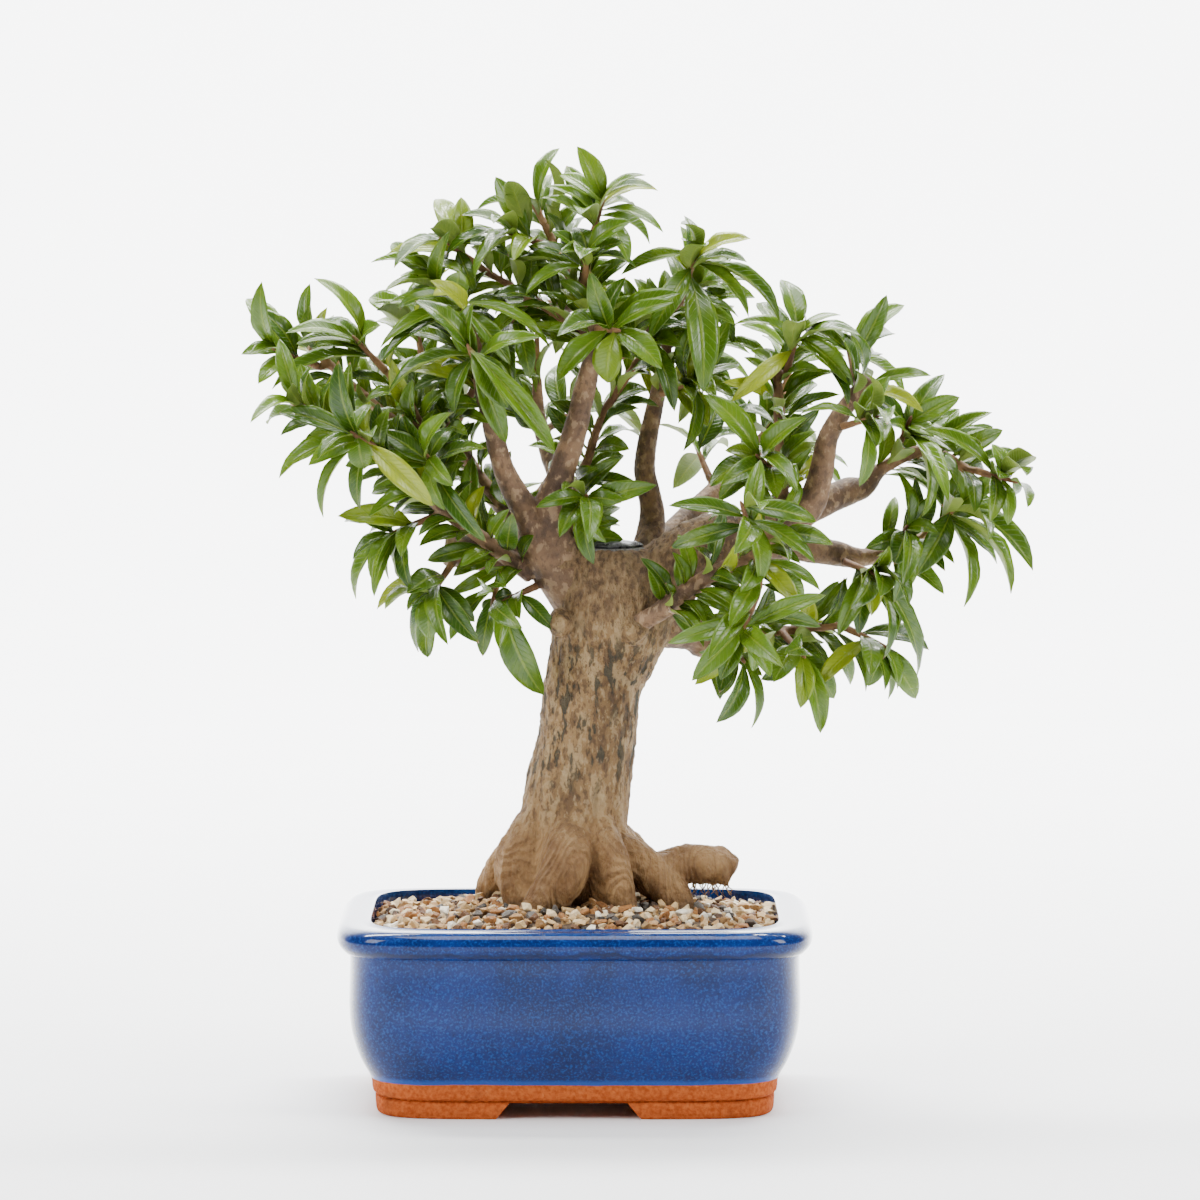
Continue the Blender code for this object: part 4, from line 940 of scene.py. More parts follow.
def twig_places():
    """Places up every thin twig, as a point, the twig's direction and its radius there."""
    found = []
    for stations in LIMBS.values():
        for a, b in zip(stations, stations[1:]):
            start, end = Vector(a[:3]), Vector(b[:3])
            steps = int((end - start).length / SMALL_EVERY)
            for k in range(steps):
                share = (k + 0.5) / steps
                radius = a[3] + (b[3] - a[3]) * share
                if radius < TWIG_RADIUS:
                    found.append((start.lerp(end, share), (end - start).normalized(), radius))
    return found


def plan_small_leaves(wood):
    crown = Crown(wood)
    for name, leaves in plan.items():
        for leaf in leaves:
            crown.add(name, *blade(*leaf))
    draw = random.Random(SMALL_SEED)
    found = []
    for number, (place, along, radius) in enumerate(twig_places()):
        side = along.orthogonal().normalized()
        across = along.cross(side)
        first = number * math.pi / 2 + draw.uniform(-0.5, 0.5)
        for pair in range(2):
            for attempt in range(SMALL_TRIES):
                angle = first + pair * math.pi + attempt * 0.8
                out = swung(side, across, angle)
                base = place + out * radius * 0.8
                away = (base - CROWN_CENTRE).normalized()
                heading = (along * draw.uniform(0.1, 0.9) + out + away * 0.3).normalized()
                tip = base + heading * draw.uniform(*SMALL_LENGTH)
                leaf = (base, tip, leaf_facing(base, tip, draw), draw.uniform(*SMALL_WIDTH), "filling")
                if in_crown(tip) and crown.is_clear("wood", leaf):
                    crown.add("small", *blade(*leaf))
                    found.append(leaf)
                    break
    return found


plan["small"] = plan_small_leaves(frame["nodes"]["tree"])
print("small leaves planned:", len(plan["small"]))

# %% [markdown]
# ## The pot
# The pot is a stack of rings in one plan shape, a superellipse: between an ellipse and a rectangle.
# The gaps between the feet are cut with prisms, as a potter cuts them with a wire.

# %% Thrown, cut and glazed
POT_RING_POINTS = 176
POT_CORNER_ANGLE = 40  # degrees, from which an edge of the pot stays sharp
CUT_REACH = 200  # a cutter's ends, well outside the pot
DRILL_TOP = 30


def superellipse(half_x, half_y, z, count):
    power = 2 / POT_SQUARENESS
    ring = []
    for k in range(count):
        angle = 2 * math.pi * (k + 0.5) / count
        c, s = math.cos(angle), math.sin(angle)
        ring.append(Vector((
            half_x * math.copysign(abs(c) ** power, c), half_y * math.copysign(abs(s) ** power, s), z,
        )))
    return ring


def even_ring(ring):
    """The same closed line with its points spread evenly along it."""
    closed = [*ring, ring[0]]
    lengths = [0.0]
    for a, b in zip(closed, closed[1:]):
        lengths.append(lengths[-1] + (b - a).length)
    wanted = [lengths[-1] * k / POT_RING_POINTS for k in range(POT_RING_POINTS)]
    columns = [np.interp(wanted, lengths, [p[axis] for p in closed]) for axis in range(3)]
    return [Vector(p) for p in zip(*columns)]


def eased_profile(profile, steps=3):
    """A profile with its corners rounded a little by extra stations between."""
    eased = []
    for i, (inset, z) in enumerate(profile[:-1]):
        before, after = profile[max(i - 1, 0)], profile[min(i + 2, len(profile) - 1)]
        ahead = profile[i + 1]
        for k in range(steps):
            t = k / steps
            point = []
            for a, b, c, d in zip(before, (inset, z), ahead, after):
                bend = 2 * a - 5 * b + 4 * c - d + t * (3 * (b - c) + d - a)
                point.append(b + 0.5 * t * (c - a + t * bend))
            eased.append(tuple(point))
    return [*eased, profile[-1]]


def stacked(rings):
    count = len(rings[0])
    faces = []
    for i in range(len(rings) - 1):
        for k in range(count):
            n = (k + 1) % count
            faces.append((i * count + k, i * count + n, (i + 1) * count + n, (i + 1) * count + k))
    faces.append(tuple(reversed(range(count))))
    faces.append(tuple(range((len(rings) - 1) * count, len(rings) * count)))
    return [p for ring in rings for p in ring], faces


def cut_from(obj, cutters):
    group = bpy.data.collections.new("cutters")
    bpy.context.scene.collection.children.link(group)
    for cutter in cutters:
        bpy.context.scene.collection.objects.unlink(cutter)
        group.objects.link(cutter)
    cut = obj.modifiers.new("cut", "BOOLEAN")
    cut.operation = "DIFFERENCE"
    cut.operand_type = "COLLECTION"
    cut.collection = group
    plain_mesh(obj)
    for cutter in cutters:
        bpy.data.objects.remove(cutter)
    bpy.data.collections.remove(group)
    return obj


def prism(profile, ends, sideways):
    rings = []
    for end in ends:
        rings.append([Vector((end, u, z)) if sideways else Vector((u, -end, z)) for u, z in profile])
    return mesh_object("cutter", *stacked(rings), smooth=False)


def make_pot():
    profile = [*POT_UNDER, *eased_profile(POT_OUTSIDE + POT_INSIDE)]
    rings = []
    for inset, z in profile:
        ring = superellipse(POT_HALF_X - inset, POT_HALF_Y - inset, z, POT_RING_POINTS * 4)
        rings.append(even_ring(ring))
    pot = mesh_object("dressed_pot", *stacked(rings), GLAZE)
    cutters = []
    for (low, high), sideways, shift in zip(NOTCH_HALF_LENGTHS, (False, True), (NOTCH_SHIFT, 0)):
        profile = ((shift - low, -1), (shift + low, -1), (shift + high, NOTCH_TOP), (shift - high, NOTCH_TOP))
        cutters.append(prism(profile, (-CUT_REACH, CUT_REACH), sideways))
    for x in (-DRAIN_X, DRAIN_X):
        drill = ((x, 0, 0, DRAIN_RADIUS), (x, 0, DRILL_TOP, DRAIN_RADIUS))
        cutters.append(mesh_object("cutter", *tube(drill, 32, 1)))
    cut_from(pot, cutters)
    pot.data.shade_smooth()
    pot.data.set_sharp_from_angle(angle=math.radians(POT_CORNER_ANGLE))
    return pot


settle(make_pot(), "pot", slot="glazed_pot")

# %% [markdown]
# ## Earth and loose grit
# Under the grit there is a mound of earth. The stones are scattered over it with Geometry Nodes:
# points that keep a distance, a stone on each, turned and scaled at random, all made real at the end.

# %% A small kit for geometry node trees
class Growth:
    """A Geometry Nodes tree under construction, with named inputs that the modifier can set."""

    def __init__(self, name):
        self.tree = bpy.data.node_groups.new(name, "GeometryNodeTree")
        self.tree.interface.new_socket("Geometry", in_out="INPUT", socket_type="NodeSocketGeometry")
        self.tree.interface.new_socket("Geometry", in_out="OUTPUT", socket_type="NodeSocketGeometry")
        self.entry = self.tree.nodes.new("NodeGroupInput")
        self.exit = self.tree.nodes.new("NodeGroupOutput")
        self.values = {}

    def input(self, name, kind, value):
        """A named input of the tree, and the value that the modifier will give it."""
        socket = self.tree.interface.new_socket(name, in_out="INPUT", socket_type="NodeSocket" + kind)
        self.values[socket.identifier] = value
        return self.entry.outputs[name]

    def node(self, kind, settings=None, values=None, output=0):
        made = self.tree.nodes.new(kind)
        for key, value in (settings or {}).items():
            setattr(made, key, value)
        for key, value in (values or {}).items():
            if isinstance(value, bpy.types.NodeSocket):
                self.tree.links.new(value, made.inputs[key])
            else:
                made.inputs[key].default_value = value
        return made.outputs[output]

    def named(self, name, kind="FLOAT"):
        return self.node("GeometryNodeInputNamedAttribute", {"data_type": kind}, {"Name": name})

    def kinds_of(self, collection):
        """The objects of a collection as separate instances, to pick from."""
        values = {"Collection": collection, "Separate Children": True, "Reset Children": True}
        return self.node("GeometryNodeCollectionInfo", values=values)

    def grow(self, obj, instances, look):
        """Realizes the instances with the look, and makes obj a plain mesh of them."""
        real = self.node("GeometryNodeRealizeInstances", values={"Geometry": instances})
        painted = self.node("GeometryNodeSetMaterial", values={"Geometry": real, "Material": look})
        self.tree.links.new(painted, self.exit.inputs[0])
        modifier = obj.modifiers.new("growth", "NODES")
        modifier.node_group = self.tree
        for identifier, value in self.values.items():
            modifier[identifier] = value
        return plain_mesh(obj)


def kept_aside(name, objects):
    """A collection that isn't in the scene, for shapes that only get repeated."""
    group = bpy.data.collections.new(name)
    for obj in objects:
        for owner in list(obj.users_collection):
            owner.objects.unlink(obj)
        group.objects.link(obj)
    return group


def dropped(group):
    for obj in list(group.objects):
        bpy.data.objects.remove(obj)
    bpy.data.collections.remove(group)


# %% Earth, and the bare part of it that stones may lie on
EARTH_RINGS = 26
EARTH_SINK = 2.6
EARTH_POINTS = 96  # in a ring
STONE_CORNERS = 13
STONE_KINDS = 8
STONE_REACH = 0.96  # how near to the wood's middle line a stone may lie, as a share of the radius
STONE_DENSITY = 9e4  # an upper bound, because the spacing sets how many there are
GRIT_LAYERS = (("grit_lower", 5.0, (2.6, 3.9), 0.4, 3), ("grit_upper", 6.2, (2.4, 4.7), 2.0, 7))


def soil_height(x, y):
    across = (x / (POT_HALF_X - SOIL_INSET)) ** 2 + (y / (POT_HALF_Y - SOIL_INSET)) ** 2
    return SOIL_EDGE_Z + SOIL_CROWN * max(0.0, 1 - across) ** 0.8


def make_earth():
    floor_inset = POT_INSIDE[-1][0] + 1
    levels = (
        (floor_inset, SOIL_BOTTOM_Z), (SOIL_INSET + 0.5, 58.0), (SOIL_INSET, SOIL_EDGE_Z - EARTH_SINK),
    )
    rings = [superellipse(POT_HALF_X - inset, POT_HALF_Y - inset, z, EARTH_POINTS) for inset, z in levels]
    rim = rings[-1]
    for k in range(1, EARTH_RINGS):
        share = 1 - k / EARTH_RINGS
        ring = []
        for p in rim:
            x, y = p.x * share, p.y * share
            lump = noise.noise(Vector((x, y, 0)) * 0.08)
            ring.append(Vector((x, y, soil_height(x, y) - EARTH_SINK + lump)))
        rings.append(ring)
    return mesh_object("earth", *stacked(rings), EARTH)


def clear_of_wood(point):
    """Whether a point on the ground is outside the trunk and the roots."""
    for stations in (TRUNK, *ROOTS):
        for a, b in zip(stations, stations[1:]):
            place, radius = nearest_between(point, a, b)
            if (point - place).length < radius * STONE_REACH:
                return False
    return True


def stone(name, seed):
    """A chip of stone: the hull of a few points on a squashed ball, its edges worn a little."""
    draw = random.Random(seed)
    squash = Vector((1.0, draw.uniform(0.7, 1.0), draw.uniform(0.5, 0.8)))
    made = bmesh.new()
    for _ in range(STONE_CORNERS):
        point = Vector([draw.gauss(0, 1) for _ in range(3)]).normalized()
        made.verts.new(point * draw.uniform(0.85, 1.1) * squash)
    hull = bmesh.ops.convex_hull(made, input=made.verts)
    loose = [v for v in hull["geom_interior"] if isinstance(v, bmesh.types.BMVert)]
    bmesh.ops.delete(made, geom=loose, context="VERTS")
    bmesh.ops.bevel(made, geom=made.edges, offset=0.09, segments=1, affect="EDGES", clamp_overlap=True)
    bmesh.ops.triangulate(made, faces=made.faces)
    mesh = bpy.data.meshes.new(name)
    made.to_mesh(mesh)
    made.free()
    return bpy.data.objects.new(name, mesh)


def scatter_stones(name, spacing, sizes, lift, seed):
    """Stones over the bare ground, no two nearer than the spacing, in millimetres."""
    top = earth.data
    middle = [p for p in top.polygons if p.normal.z > 0.6 and len(p.vertices) == 4]
    points, faces = [], []
    for polygon in middle:
        corners = [(top.vertices[i].co - POT_MIDDLE) / MM + Vector((0, 0, lift)) for i in polygon.vertices]
        if all(clear_of_wood(c) for c in corners):
            faces.append(tuple(range(len(points), len(points) + 4)))
            points.extend(corners)
    ground = mesh_object(name, points, faces)
    shapes = kept_aside("stones", [stone(f"stone_{k}", seed * 10 + k) for k in range(STONE_KINDS)])
    grow = Growth(name)
    distance = grow.input("Spacing", "Float", spacing * MM)
    low = grow.input("Smallest", "Float", sizes[0] * MM)
    high = grow.input("Largest", "Float", sizes[1] * MM)
    kinds = grow.input("Stones", "Collection", shapes)
    look = grow.input("Material", "Material", GRIT)
    number = grow.input("Seed", "Int", seed)
    spread = grow.node(
        "GeometryNodeDistributePointsOnFaces", {"distribute_method": "POISSON"},
        {
            "Mesh": grow.entry.outputs["Geometry"], "Distance Min": distance, "Density Max": STONE_DENSITY,
            "Seed": number,
        },
    )
    tint = grow.node("FunctionNodeRandomValue", {"data_type": "FLOAT"}, {"Seed": number}, output=1)
    marked = grow.node(
        "GeometryNodeStoreNamedAttribute", {"data_type": "FLOAT", "domain": "POINT"},
        {"Geometry": spread, "Name": "shade", "Value": tint},
    )
    shape = grow.kinds_of(kinds)
    turn = grow.node(
        "FunctionNodeRandomValue", {"data_type": "FLOAT_VECTOR"},
        {"Min": (-0.6, -0.6, 0), "Max": (0.6, 0.6, 2 * math.pi), "Seed": seed + 1},
    )
    sizing = {2: low, 3: high, "Seed": seed + 2}
    size = grow.node("FunctionNodeRandomValue", {"data_type": "FLOAT"}, sizing, output=1)
    laid = grow.node(
        "GeometryNodeInstanceOnPoints", values={
            "Points": marked, "Instance": shape, "Pick Instance": True, "Rotation": turn, "Scale": size,
        },
    )
    grow.grow(ground, laid, look)
    dropped(shapes)
    return ground


earth = make_earth()
for layer in GRIT_LAYERS:
    settle(scatter_stones(*layer), slot="grit")
settle(earth, "soil", slot="grit")

# %% [markdown]
# ## Trunk, roots and limbs
# Wood that grew as one piece has no seams. The roots, the trunk and the forks of the thick limbs are
# tubes run into each other, skinned with a voxel remesh and softened. Then noise pushes the skin in
# and out: broad hollows, long ribs and the edges of flakes.

# %% The old wood
THICK = 8.5  # a limb's stations from this radius up are grown into the trunk
FORK_TAPER = 0.8
OLD_WOOD_VOXEL = 1.25
TRUNK_KNOBS = ((36, 4, 268, 8), (-8, -12, 240, 7), (29, -13, 236, 8), (22, 30, 190, 9), (-4, 36, 168, 8))


def trunk_parts():
    parts = [tube(TRUNK, 40, 8)]
    parts += [tube(root, 24, 8) for root in ROOTS]
    for stations in LIMBS.values():
        thick = [s for s in stations if s[3] >= THICK]
        if len(thick) > 1:
            last = (*thick[-1][:3], thick[-1][3] * FORK_TAPER)
            parts.append(tube((*thick[:-1], last), 24, 6))
    for x, y, z, radius in TRUNK_KNOBS:
        low, high = (x, y, z - radius, radius * 0.5), (x, y, z + radius * 0.8, radius * 0.4)
        parts.append(tube((low, (x, y, z, radius), high), 16, 4))
    return parts


def old_relief(p):
    """How far the old bark stands out at a point."""
    broad = noise.noise(Vector((p.x, p.y, p.z * 0.45)) * 0.055)
    ribs = noise.noise(Vector((p.x * 1.2, p.y * 1.2, p.z * 0.22)) * 0.16)
    flakes = noise.noise(Vector((p.x, p.y, p.z * 0.6)) * 0.42)
    fine = noise.noise(p * 1.1)
    low = max(0.0, min(1.0, (150 - p.z) / 35))
    coarse = 1.1 * broad + (0.8 + 0.9 * low) * ribs
    return coarse + (0.8 - 0.45 * low) * flakes + (0.35 - 0.2 * low) * fine


old_wood = fused("old_wood", trunk_parts(), OLD_WOOD_VOXEL, OLD_BARK, 3)
settle(roughened(old_wood, old_relief), "tree", slot="bark")

# %% Limbs and the spurs that carry the shoots
LIMB_SHRINK = 0.96  # where a limb runs inside the old wood
LIMB_VOXEL = 1.05
YOUNG_UNDER = 4.2  # wood thinner than this starts to look young
YOUNG_SPAN = 2.2  # and this much thinner still is young altogether


def limb_stations(stations):
    thick = sum(s[3] >= THICK for s in stations)
    found = []
    for i, (x, y, z, radius) in enumerate(stations):
        inside = thick > 1 and i < thick - 1
        found.append((x, y, z, radius * (LIMB_SHRINK if inside else 1)))
    return found


def knotty(seed):
    """A radius that swells at the joints of a twig."""
    return lambda share: 1 + 0.07 * noise.noise(Vector((share * 9, seed, 0)))


def limb_parts():
    parts = []
    for seed, stations in enumerate(LIMBS.values()):
        parts.append(tube(limb_stations(stations), 16, 7, knotty(seed)))
    for seed, stations in enumerate(spurs().values()):
        parts.append(tube(stations, 10, 4, knotty(seed + 40)))
    return parts


def limb_relief(p):
    broad = noise.noise(p * 0.11)
    fine = noise.noise(p * 0.55)
    return 0.35 * broad + 0.22 * fine


def mark_young(obj):
    """Writes how young the wood is at each point, from how thick the limb is there."""
    young = obj.data.attributes.new("young", "FLOAT", "POINT")
    values = []
    for vertex in obj.data.vertices:
        _, _, radius = nearest_on_limbs((vertex.co - POT_MIDDLE) / MM)
        values.append(max(0.0, min(1.0, (YOUNG_UNDER - radius) / YOUNG_SPAN)))
    young.data.foreach_set("value", values)
    return obj


limbs = fused("limbs", limb_parts(), LIMB_VOXEL, YOUNG_BARK, 1)
settle(mark_young(roughened(limbs, limb_relief)), slot="bark")

# %% [markdown]
# ## Sawn ends, sealant and root hairs
# The tree was pruned hard. Limbs that carry no shoot end in a flat saw cut, and the top of the trunk
# has a grey cut with a lump of sealing paste on it.

# %% Cuts and the sealed top
CUT_PROUD = 0.35
SHOOT_NEAR = 8  # a limb's end this near to a shoot's foot isn't sawn off
TOP_CUT_RADIUS = 20.5
SEAL_POINTS = 48


def carries_shoot(point):
    return any((Vector(shoot[0]) - point).length < SHOOT_NEAR for shoot in SHOOTS.values())


def cut_disc(end, before, radius, depth=1.5, sides=20):
    """A low disc on a limb's end, a little proud of the bark and hollowed in the middle."""
    along = (end - before).normalized()
    stations = (
        (*(end - along * depth), radius * 0.9), (*(end + along * CUT_PROUD), radius * 0.9),
        (*(end + along * (CUT_PROUD + 0.15)), radius * 0.72),
        (*(end + along * CUT_PROUD * 0.6), radius * 0.3),
    )
    return tube(stations, sides, 1)


def sawn_parts():
    parts = []
    for stations in LIMBS.values():
        end, before, radius = Vector(stations[-1][:3]), Vector(stations[-2][:3]), stations[-1][3]
        if not carries_shoot(end):
            parts.append(cut_disc(end, before, radius))
    return parts


sawn = mesh_object("sawn_ends", *gathered(sawn_parts()), SAWN)
settle(sawn, slot="bark")
top = Vector(TRUNK[-1][:3])
top_disc = cut_disc(top, top - Vector((0, 0, 9)), TOP_CUT_RADIUS, 4, 40)
grey = mesh_object("grey_cut", *top_disc, GREY_CUT)
settle(roughened(grey, lambda p: 0.5 * noise.noise(p * 0.3)), slot="bark")


def make_seal():
    low = TRUNK[-1][2] + 0.35
    outline = [(SEAL_RADII[0][0] * 0.97, -0.2), *eased_profile(SEAL_RADII, 4), (0.4, SEAL_RADII[-1][1] + 0.5)]
    rings = []
    for radius, z in outline:
        ring = []
        for k in range(SEAL_POINTS):
            a = 2 * math.pi * k / SEAL_POINTS
            wave = 1 + 0.08 * math.sin(3 * a) + 0.05 * math.sin(7 * a + 1)
            x = SEAL_CENTRE[0] + radius * math.cos(a) * wave
            y = SEAL_CENTRE[1] + 0.8 * radius * math.sin(a) * wave
            ring.append(Vector((x, y, low + z)))
        rings.append(ring)
    return mesh_object("sealing_paste", *stacked(rings), SEALANT)


settle(roughened(make_seal(), lambda p: 0.7 * noise.noise(p * 0.28)), "wound_seal", slot="wound_seal")


HAIR_COUNT = 26
HAIR_RADIUS = 0.42
HAIR_TOP = 107.5  # the underside of the raised root


def root_hairs(count, seed):
    """Fine roots that hang under the raised root and creep over the grit beside it."""
    draw = random.Random(seed)
    parts = []
    for _ in range(count):
        x = draw.uniform(52, 76)
        start = Vector((x, draw.uniform(0, 9), HAIR_TOP + draw.uniform(-1, 1)))
        stations = [(*start, HAIR_RADIUS)]
        for k in range(1, 5):
            start = start + Vector((draw.uniform(-2, 2), draw.uniform(-2.2, 1), -draw.uniform(1.0, 2.4)))
            stations.append((*start, HAIR_RADIUS - 0.07 * k))
        parts.append(tube(stations, 5, 2))
    return parts


hairs = mesh_object("root_hairs", *gathered(root_hairs(HAIR_COUNT, 5)), OLD_BARK)
settle(hairs, slot="bark")

# %% [markdown]
# ## Stems and leaves
# One leaf is drawn a few times over with different waves and twists, flat at unit length, width one.
# Geometry Nodes then stands the right one at each planned place, turned by the plan and scaled to
# its length and width, so that the fine leaves keep the form of the solid ones.

# %% Draw the leaves once
LEAF_ACROSS = 6
LEAF_ALONG = 12
LEAF_HALF_THICK = 0.007
LEAF_KINDS = 8
LEAF_GROUPS = 3
STALK_END = 0.06  # where the stalk meets the blade
STALK_HALF = 0.075


def leaf_half_width(t):
    """Half the width at a place along a leaf of width one: a short stalk, then a long ellipse."""
    if t < STALK_END:
        return STALK_HALF
    share = (t - STALK_END) / (1 - STALK_END)
    return max(STALK_HALF * (1 - share), 0.5 * math.sin(math.pi * share**0.95) ** 0.68)


def leaf_shape(name, seed):
    """A leaf from x 0 to 1, with an upper and a lower face, its own coordinates and marks."""
    draw = random.Random(seed)
    wave, phase = draw.uniform(0.006, 0.02), draw.uniform(0, 6)
    twist, curl = draw.uniform(-0.5, 0.5), draw.uniform(-0.02, 0.04)
    fold = draw.uniform(0.10, 0.22)
    points, uv, under, faces = [], [], [], []
    for layer in (1, 0):
        for i in range(LEAF_ALONG + 1):
            t = 1 - math.cos(math.pi / 2 * i / LEAF_ALONG) ** 1.35
            t = 0.35 * t + 0.65 * i / LEAF_ALONG
            half = leaf_half_width(t)
            for j in range(LEAF_ACROSS + 1):
                s = 2 * j / LEAF_ACROSS - 1
                turn = twist * (t - 0.4)
                y = s * half
                z = 2 * LEAF_ARCH * 2 * t * (1 - t) + fold * abs(y) * 0.9 + y * turn * 0.35
                z += wave * math.sin(t * 17 + phase + s) * s * s * math.sin(math.pi * t)
                z -= curl * t**4
                z += LEAF_HALF_THICK * (layer - 0.5) * 2 * (1 - 0.7 * abs(s))
                points.append(Vector((t, y, z)))
                uv.append((0.5 + s / 2, t))
                under.append(1.0 - layer)
    row = LEAF_ACROSS + 1
    lower = (LEAF_ALONG + 1) * row
    for i in range(LEAF_ALONG):
        for j in range(LEAF_ACROSS):
            a = i * row + j
            faces.append((a, a + row, a + row + 1, a + 1))
            faces.append((lower + a, lower + a + 1, lower + a + row + 1, lower + a + row))
        for j, outward in ((0, 1), (LEAF_ACROSS, -1)):
            a = i * row + j
            side = (a, lower + a, lower + a + row, a + row)
            faces.append(side[::outward])
    mesh = bpy.data.meshes.new(name)
    mesh.from_pydata(points, [], faces)
    layer = mesh.uv_layers.new(name="UVMap")
    for loop in mesh.loops:
        layer.data[loop.index].uv = uv[loop.vertex_index]
    mesh.attributes.new("under", "FLOAT", "POINT").data.foreach_set("value", under)
    mesh.shade_smooth()
    return bpy.data.objects.new(name, mesh)


def leaf_places(names):
    """Where each leaf of these shoots stands: its foot, turn and size, with a random shade."""
    found = []
    for name in names:
        for k, (base, tip, facing, width, _) in enumerate(plan[name]):
            draw = random.Random(f"{name} {k}")
            span = tip - base
            along = span.normalized()
            up = (facing - along * facing.dot(along)).normalized()
            turned = Matrix((along, up.cross(along), up)).transposed().to_euler()
            size = Vector((span.length, width * draw.uniform(0.95, 1.15), span.length)) * MM
            found.append((at(base), Vector(turned), size, draw.random(), draw.randrange(LEAF_KINDS)))
    return found


def grow_leaves(name, shoots):
    places = leaf_places(shoots)
    mesh = bpy.data.meshes.new(name)
    mesh.from_pydata([p[0] for p in places], [], [])
    for key, kind, column in (("turn", "FLOAT_VECTOR", 1), ("size", "FLOAT_VECTOR", 2)):
        data = mesh.attributes.new(key, kind, "POINT").data
        data.foreach_set("vector", [c for p in places for c in p[column]])
    mesh.attributes.new("shade", "FLOAT", "POINT").data.foreach_set("value", [p[3] for p in places])
    mesh.attributes.new("kind", "INT", "POINT").data.foreach_set("value", [p[4] for p in places])
    made = placed(name, mesh)
    grow = Growth(name)
    kinds = grow.input("Leaves", "Collection", leaf_shapes)
    look = grow.input("Material", "Material", LEAF)
    shape = grow.kinds_of(kinds)
    stood = grow.node(
        "GeometryNodeInstanceOnPoints", values={
            "Points": grow.entry.outputs["Geometry"], "Instance": shape, "Pick Instance": True,
            "Instance Index": grow.named("kind", "INT"), "Rotation": grow.named("turn", "FLOAT_VECTOR"),
            "Scale": grow.named("size", "FLOAT_VECTOR"),
        },
    )
    return grow.grow(made, stood, look)


def stem_parts(shoots):
    parts = []
    for seed, name in enumerate(shoots):
        base, tip, along = shoot_ends(name)
        stations = (
            (*(base - along), STEM_RADII[0]), (*base.lerp(tip, 0.5), 1.5), (*tip, STEM_RADII[1]),
            (*(tip + along * 2.5), 0.4),
        )
        parts.append(tube(stations, 10, 6, knotty(seed + 90)))
    return parts


leaf_shapes = kept_aside("leaf shapes", [leaf_shape(f"leaf_{k}", 30 + k) for k in range(LEAF_KINDS)])
names = list(SHOOTS)
share = math.ceil(len(names) / LEAF_GROUPS)
for k in range(LEAF_GROUPS):
    group = names[k * share : (k + 1) * share]
    leaves = grow_leaves(f"leaves_{k + 1}", group)
    settle(leaves, *["shoot_" + name for name in group], slot="leaf")
settle(grow_leaves("leaves_small", ["small"]), slot="leaf")
dropped(leaf_shapes)
stems = mesh_object("stems", *gathered(stem_parts(names)), YOUNG_BARK)
young = stems.data.attributes.new("young", "FLOAT", "POINT")
young.data.foreach_set("value", [1.0] * len(stems.data.vertices))
settle(stems, slot="bark")

# %% [markdown]
# ## Plastic mesh over the drain holes
# The solid screens are already right. They only need their finish.

# %% Screens
for node in ("drain_screen_left", "drain_screen_right"):
    screen = frame["nodes"][node]
    screen.data.materials.clear()
    screen.data.materials.append(SCREEN)

# %% [markdown]
# ## Studio
# A pale sheet lies flat under the pot and bends up behind the tree, so no horizon shows. A soft
# light on each side and one above give the broad reflections that glaze needs, and a fourth lights
# the sheet. The camera stands 3.35 m away, looks down by a few degrees and has a long lens.

# %% Floor, lights and camera
FLOOR_HALF = 5.0
FLOOR_FRONT = -6.0
WALL_START = 2.2  # how far behind the tree the floor starts to curve up
WALL_BEND = 1.6
WALL_HEIGHT = 6.0
WALL_STEPS = 24


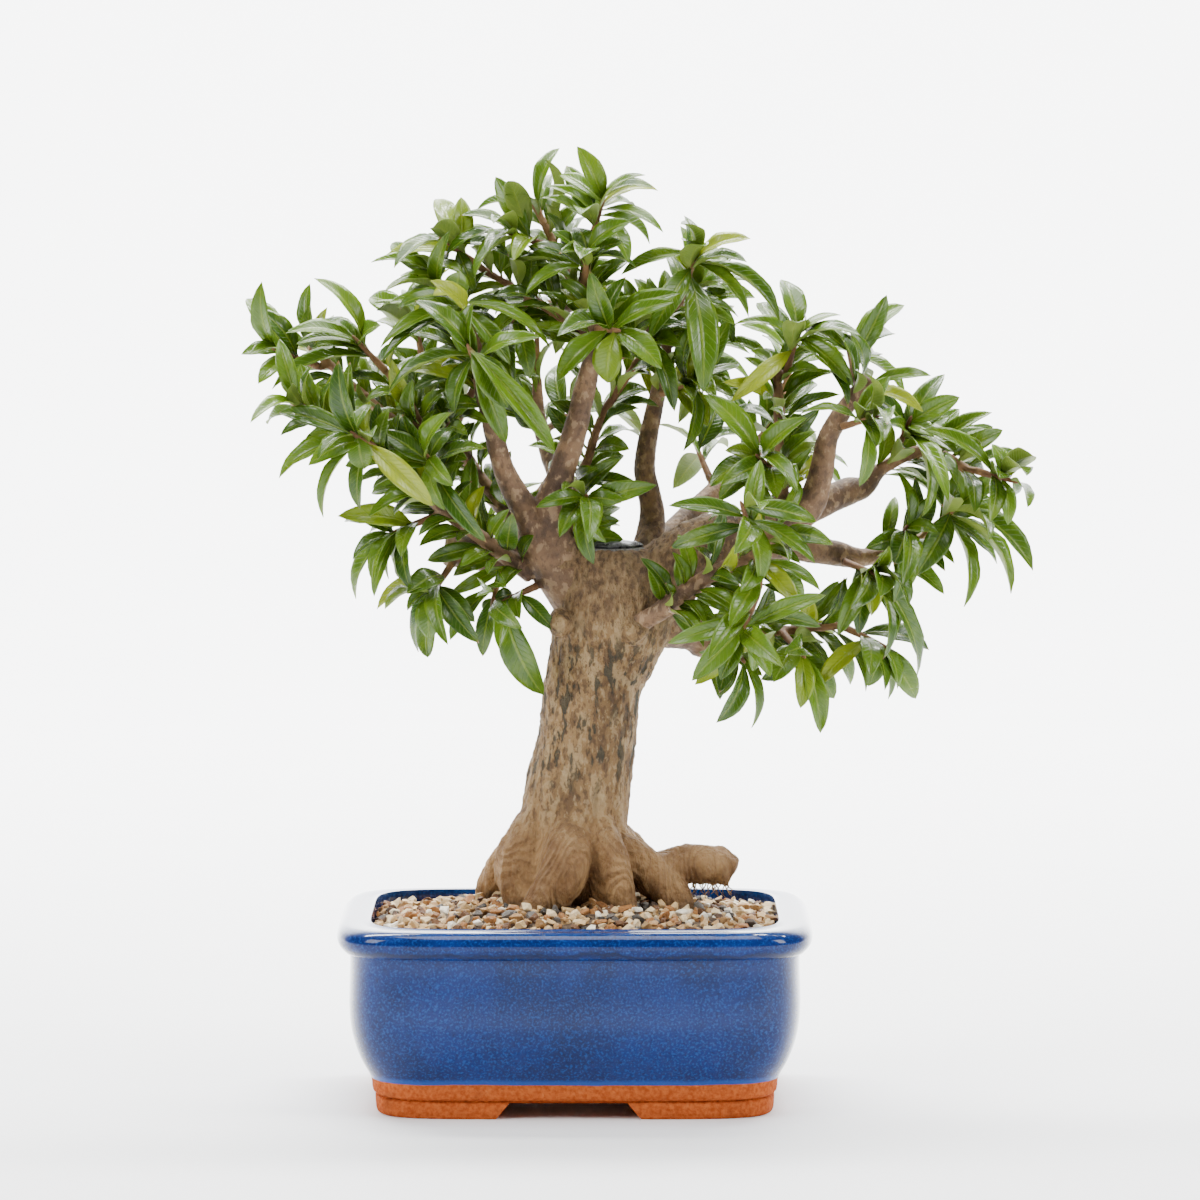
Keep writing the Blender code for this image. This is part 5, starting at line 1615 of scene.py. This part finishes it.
def make_floor():
    """A pale sheet that lies flat, bends up behind the tree and becomes the background."""
    line = [(FLOOR_FRONT, 0.0), (WALL_START, 0.0)]
    for k in range(1, WALL_STEPS + 1):
        angle = math.pi / 2 * k / WALL_STEPS
        line.append((WALL_START + WALL_BEND * math.sin(angle), WALL_BEND * (1 - math.cos(angle))))
    line.append((WALL_START + WALL_BEND, WALL_HEIGHT))
    mesh = bpy.data.meshes.new("floor")
    points = [(x, y, z) for y, z in line for x in (-FLOOR_HALF, FLOOR_HALF)]
    faces = [(2 * k, 2 * k + 1, 2 * k + 3, 2 * k + 2) for k in range(len(line) - 1)]
    mesh.from_pydata(points, [], faces)
    mesh.materials.append(floor_look())
    mesh.shade_smooth()
    return placed("floor", mesh)


def soft_light(name, place, target, size, power):
    data = bpy.data.lights.new(name, "AREA")
    data.shape = "RECTANGLE"
    data.size, data.size_y = size
    data.energy = power
    made = placed(name, data)
    made.location = place
    made.rotation_euler = (Vector(target) - Vector(place)).to_track_quat("-Z", "Y").to_euler()
    return made


CAMERA_PLACE = at((12.5, -3350, 489))
CAMERA_PITCH = 4.08  # degrees below level
CAMERA_LENS = 201.0
MIDDLE = (0, 0, 0.24)
LIGHTS = (  # name, place, target, size in metres and power in watts
    ("light_left", (-1.6, -1.0, 1.2), MIDDLE, (0.8, 1.2), 40),
    ("light_right", (1.6, -0.8, 1.0), MIDDLE, (0.5, 1.1), 29),
    ("light_top", (0.1, -0.3, 2.0), MIDDLE, (1.2, 1.2), 42),
    ("light_wall", (0, 1.4, 3.2), (0, 3.4, 0.9), (4.0, 1.2), 1000),
)
WORLD_STRENGTH = 0.2
make_floor()
for light in LIGHTS:
    soft_light(*light)
world = bpy.data.worlds.new("studio")
world.use_nodes = True
background = world.node_tree.nodes["Background"]
background.inputs["Color"].default_value = (1, 1, 1, 1)
background.inputs["Strength"].default_value = WORLD_STRENGTH
bpy.context.scene.world = world
lens = bpy.data.cameras.new("camera")
lens.lens = CAMERA_LENS
lens.sensor_width = 36
lens.clip_end = 50
camera = placed("camera", lens)
camera.location = CAMERA_PLACE
camera.rotation_euler = (math.radians(90 - CAMERA_PITCH), 0, 0)
bpy.context.scene.camera = camera
print("camera at", [round(c, 3) for c in camera.location])
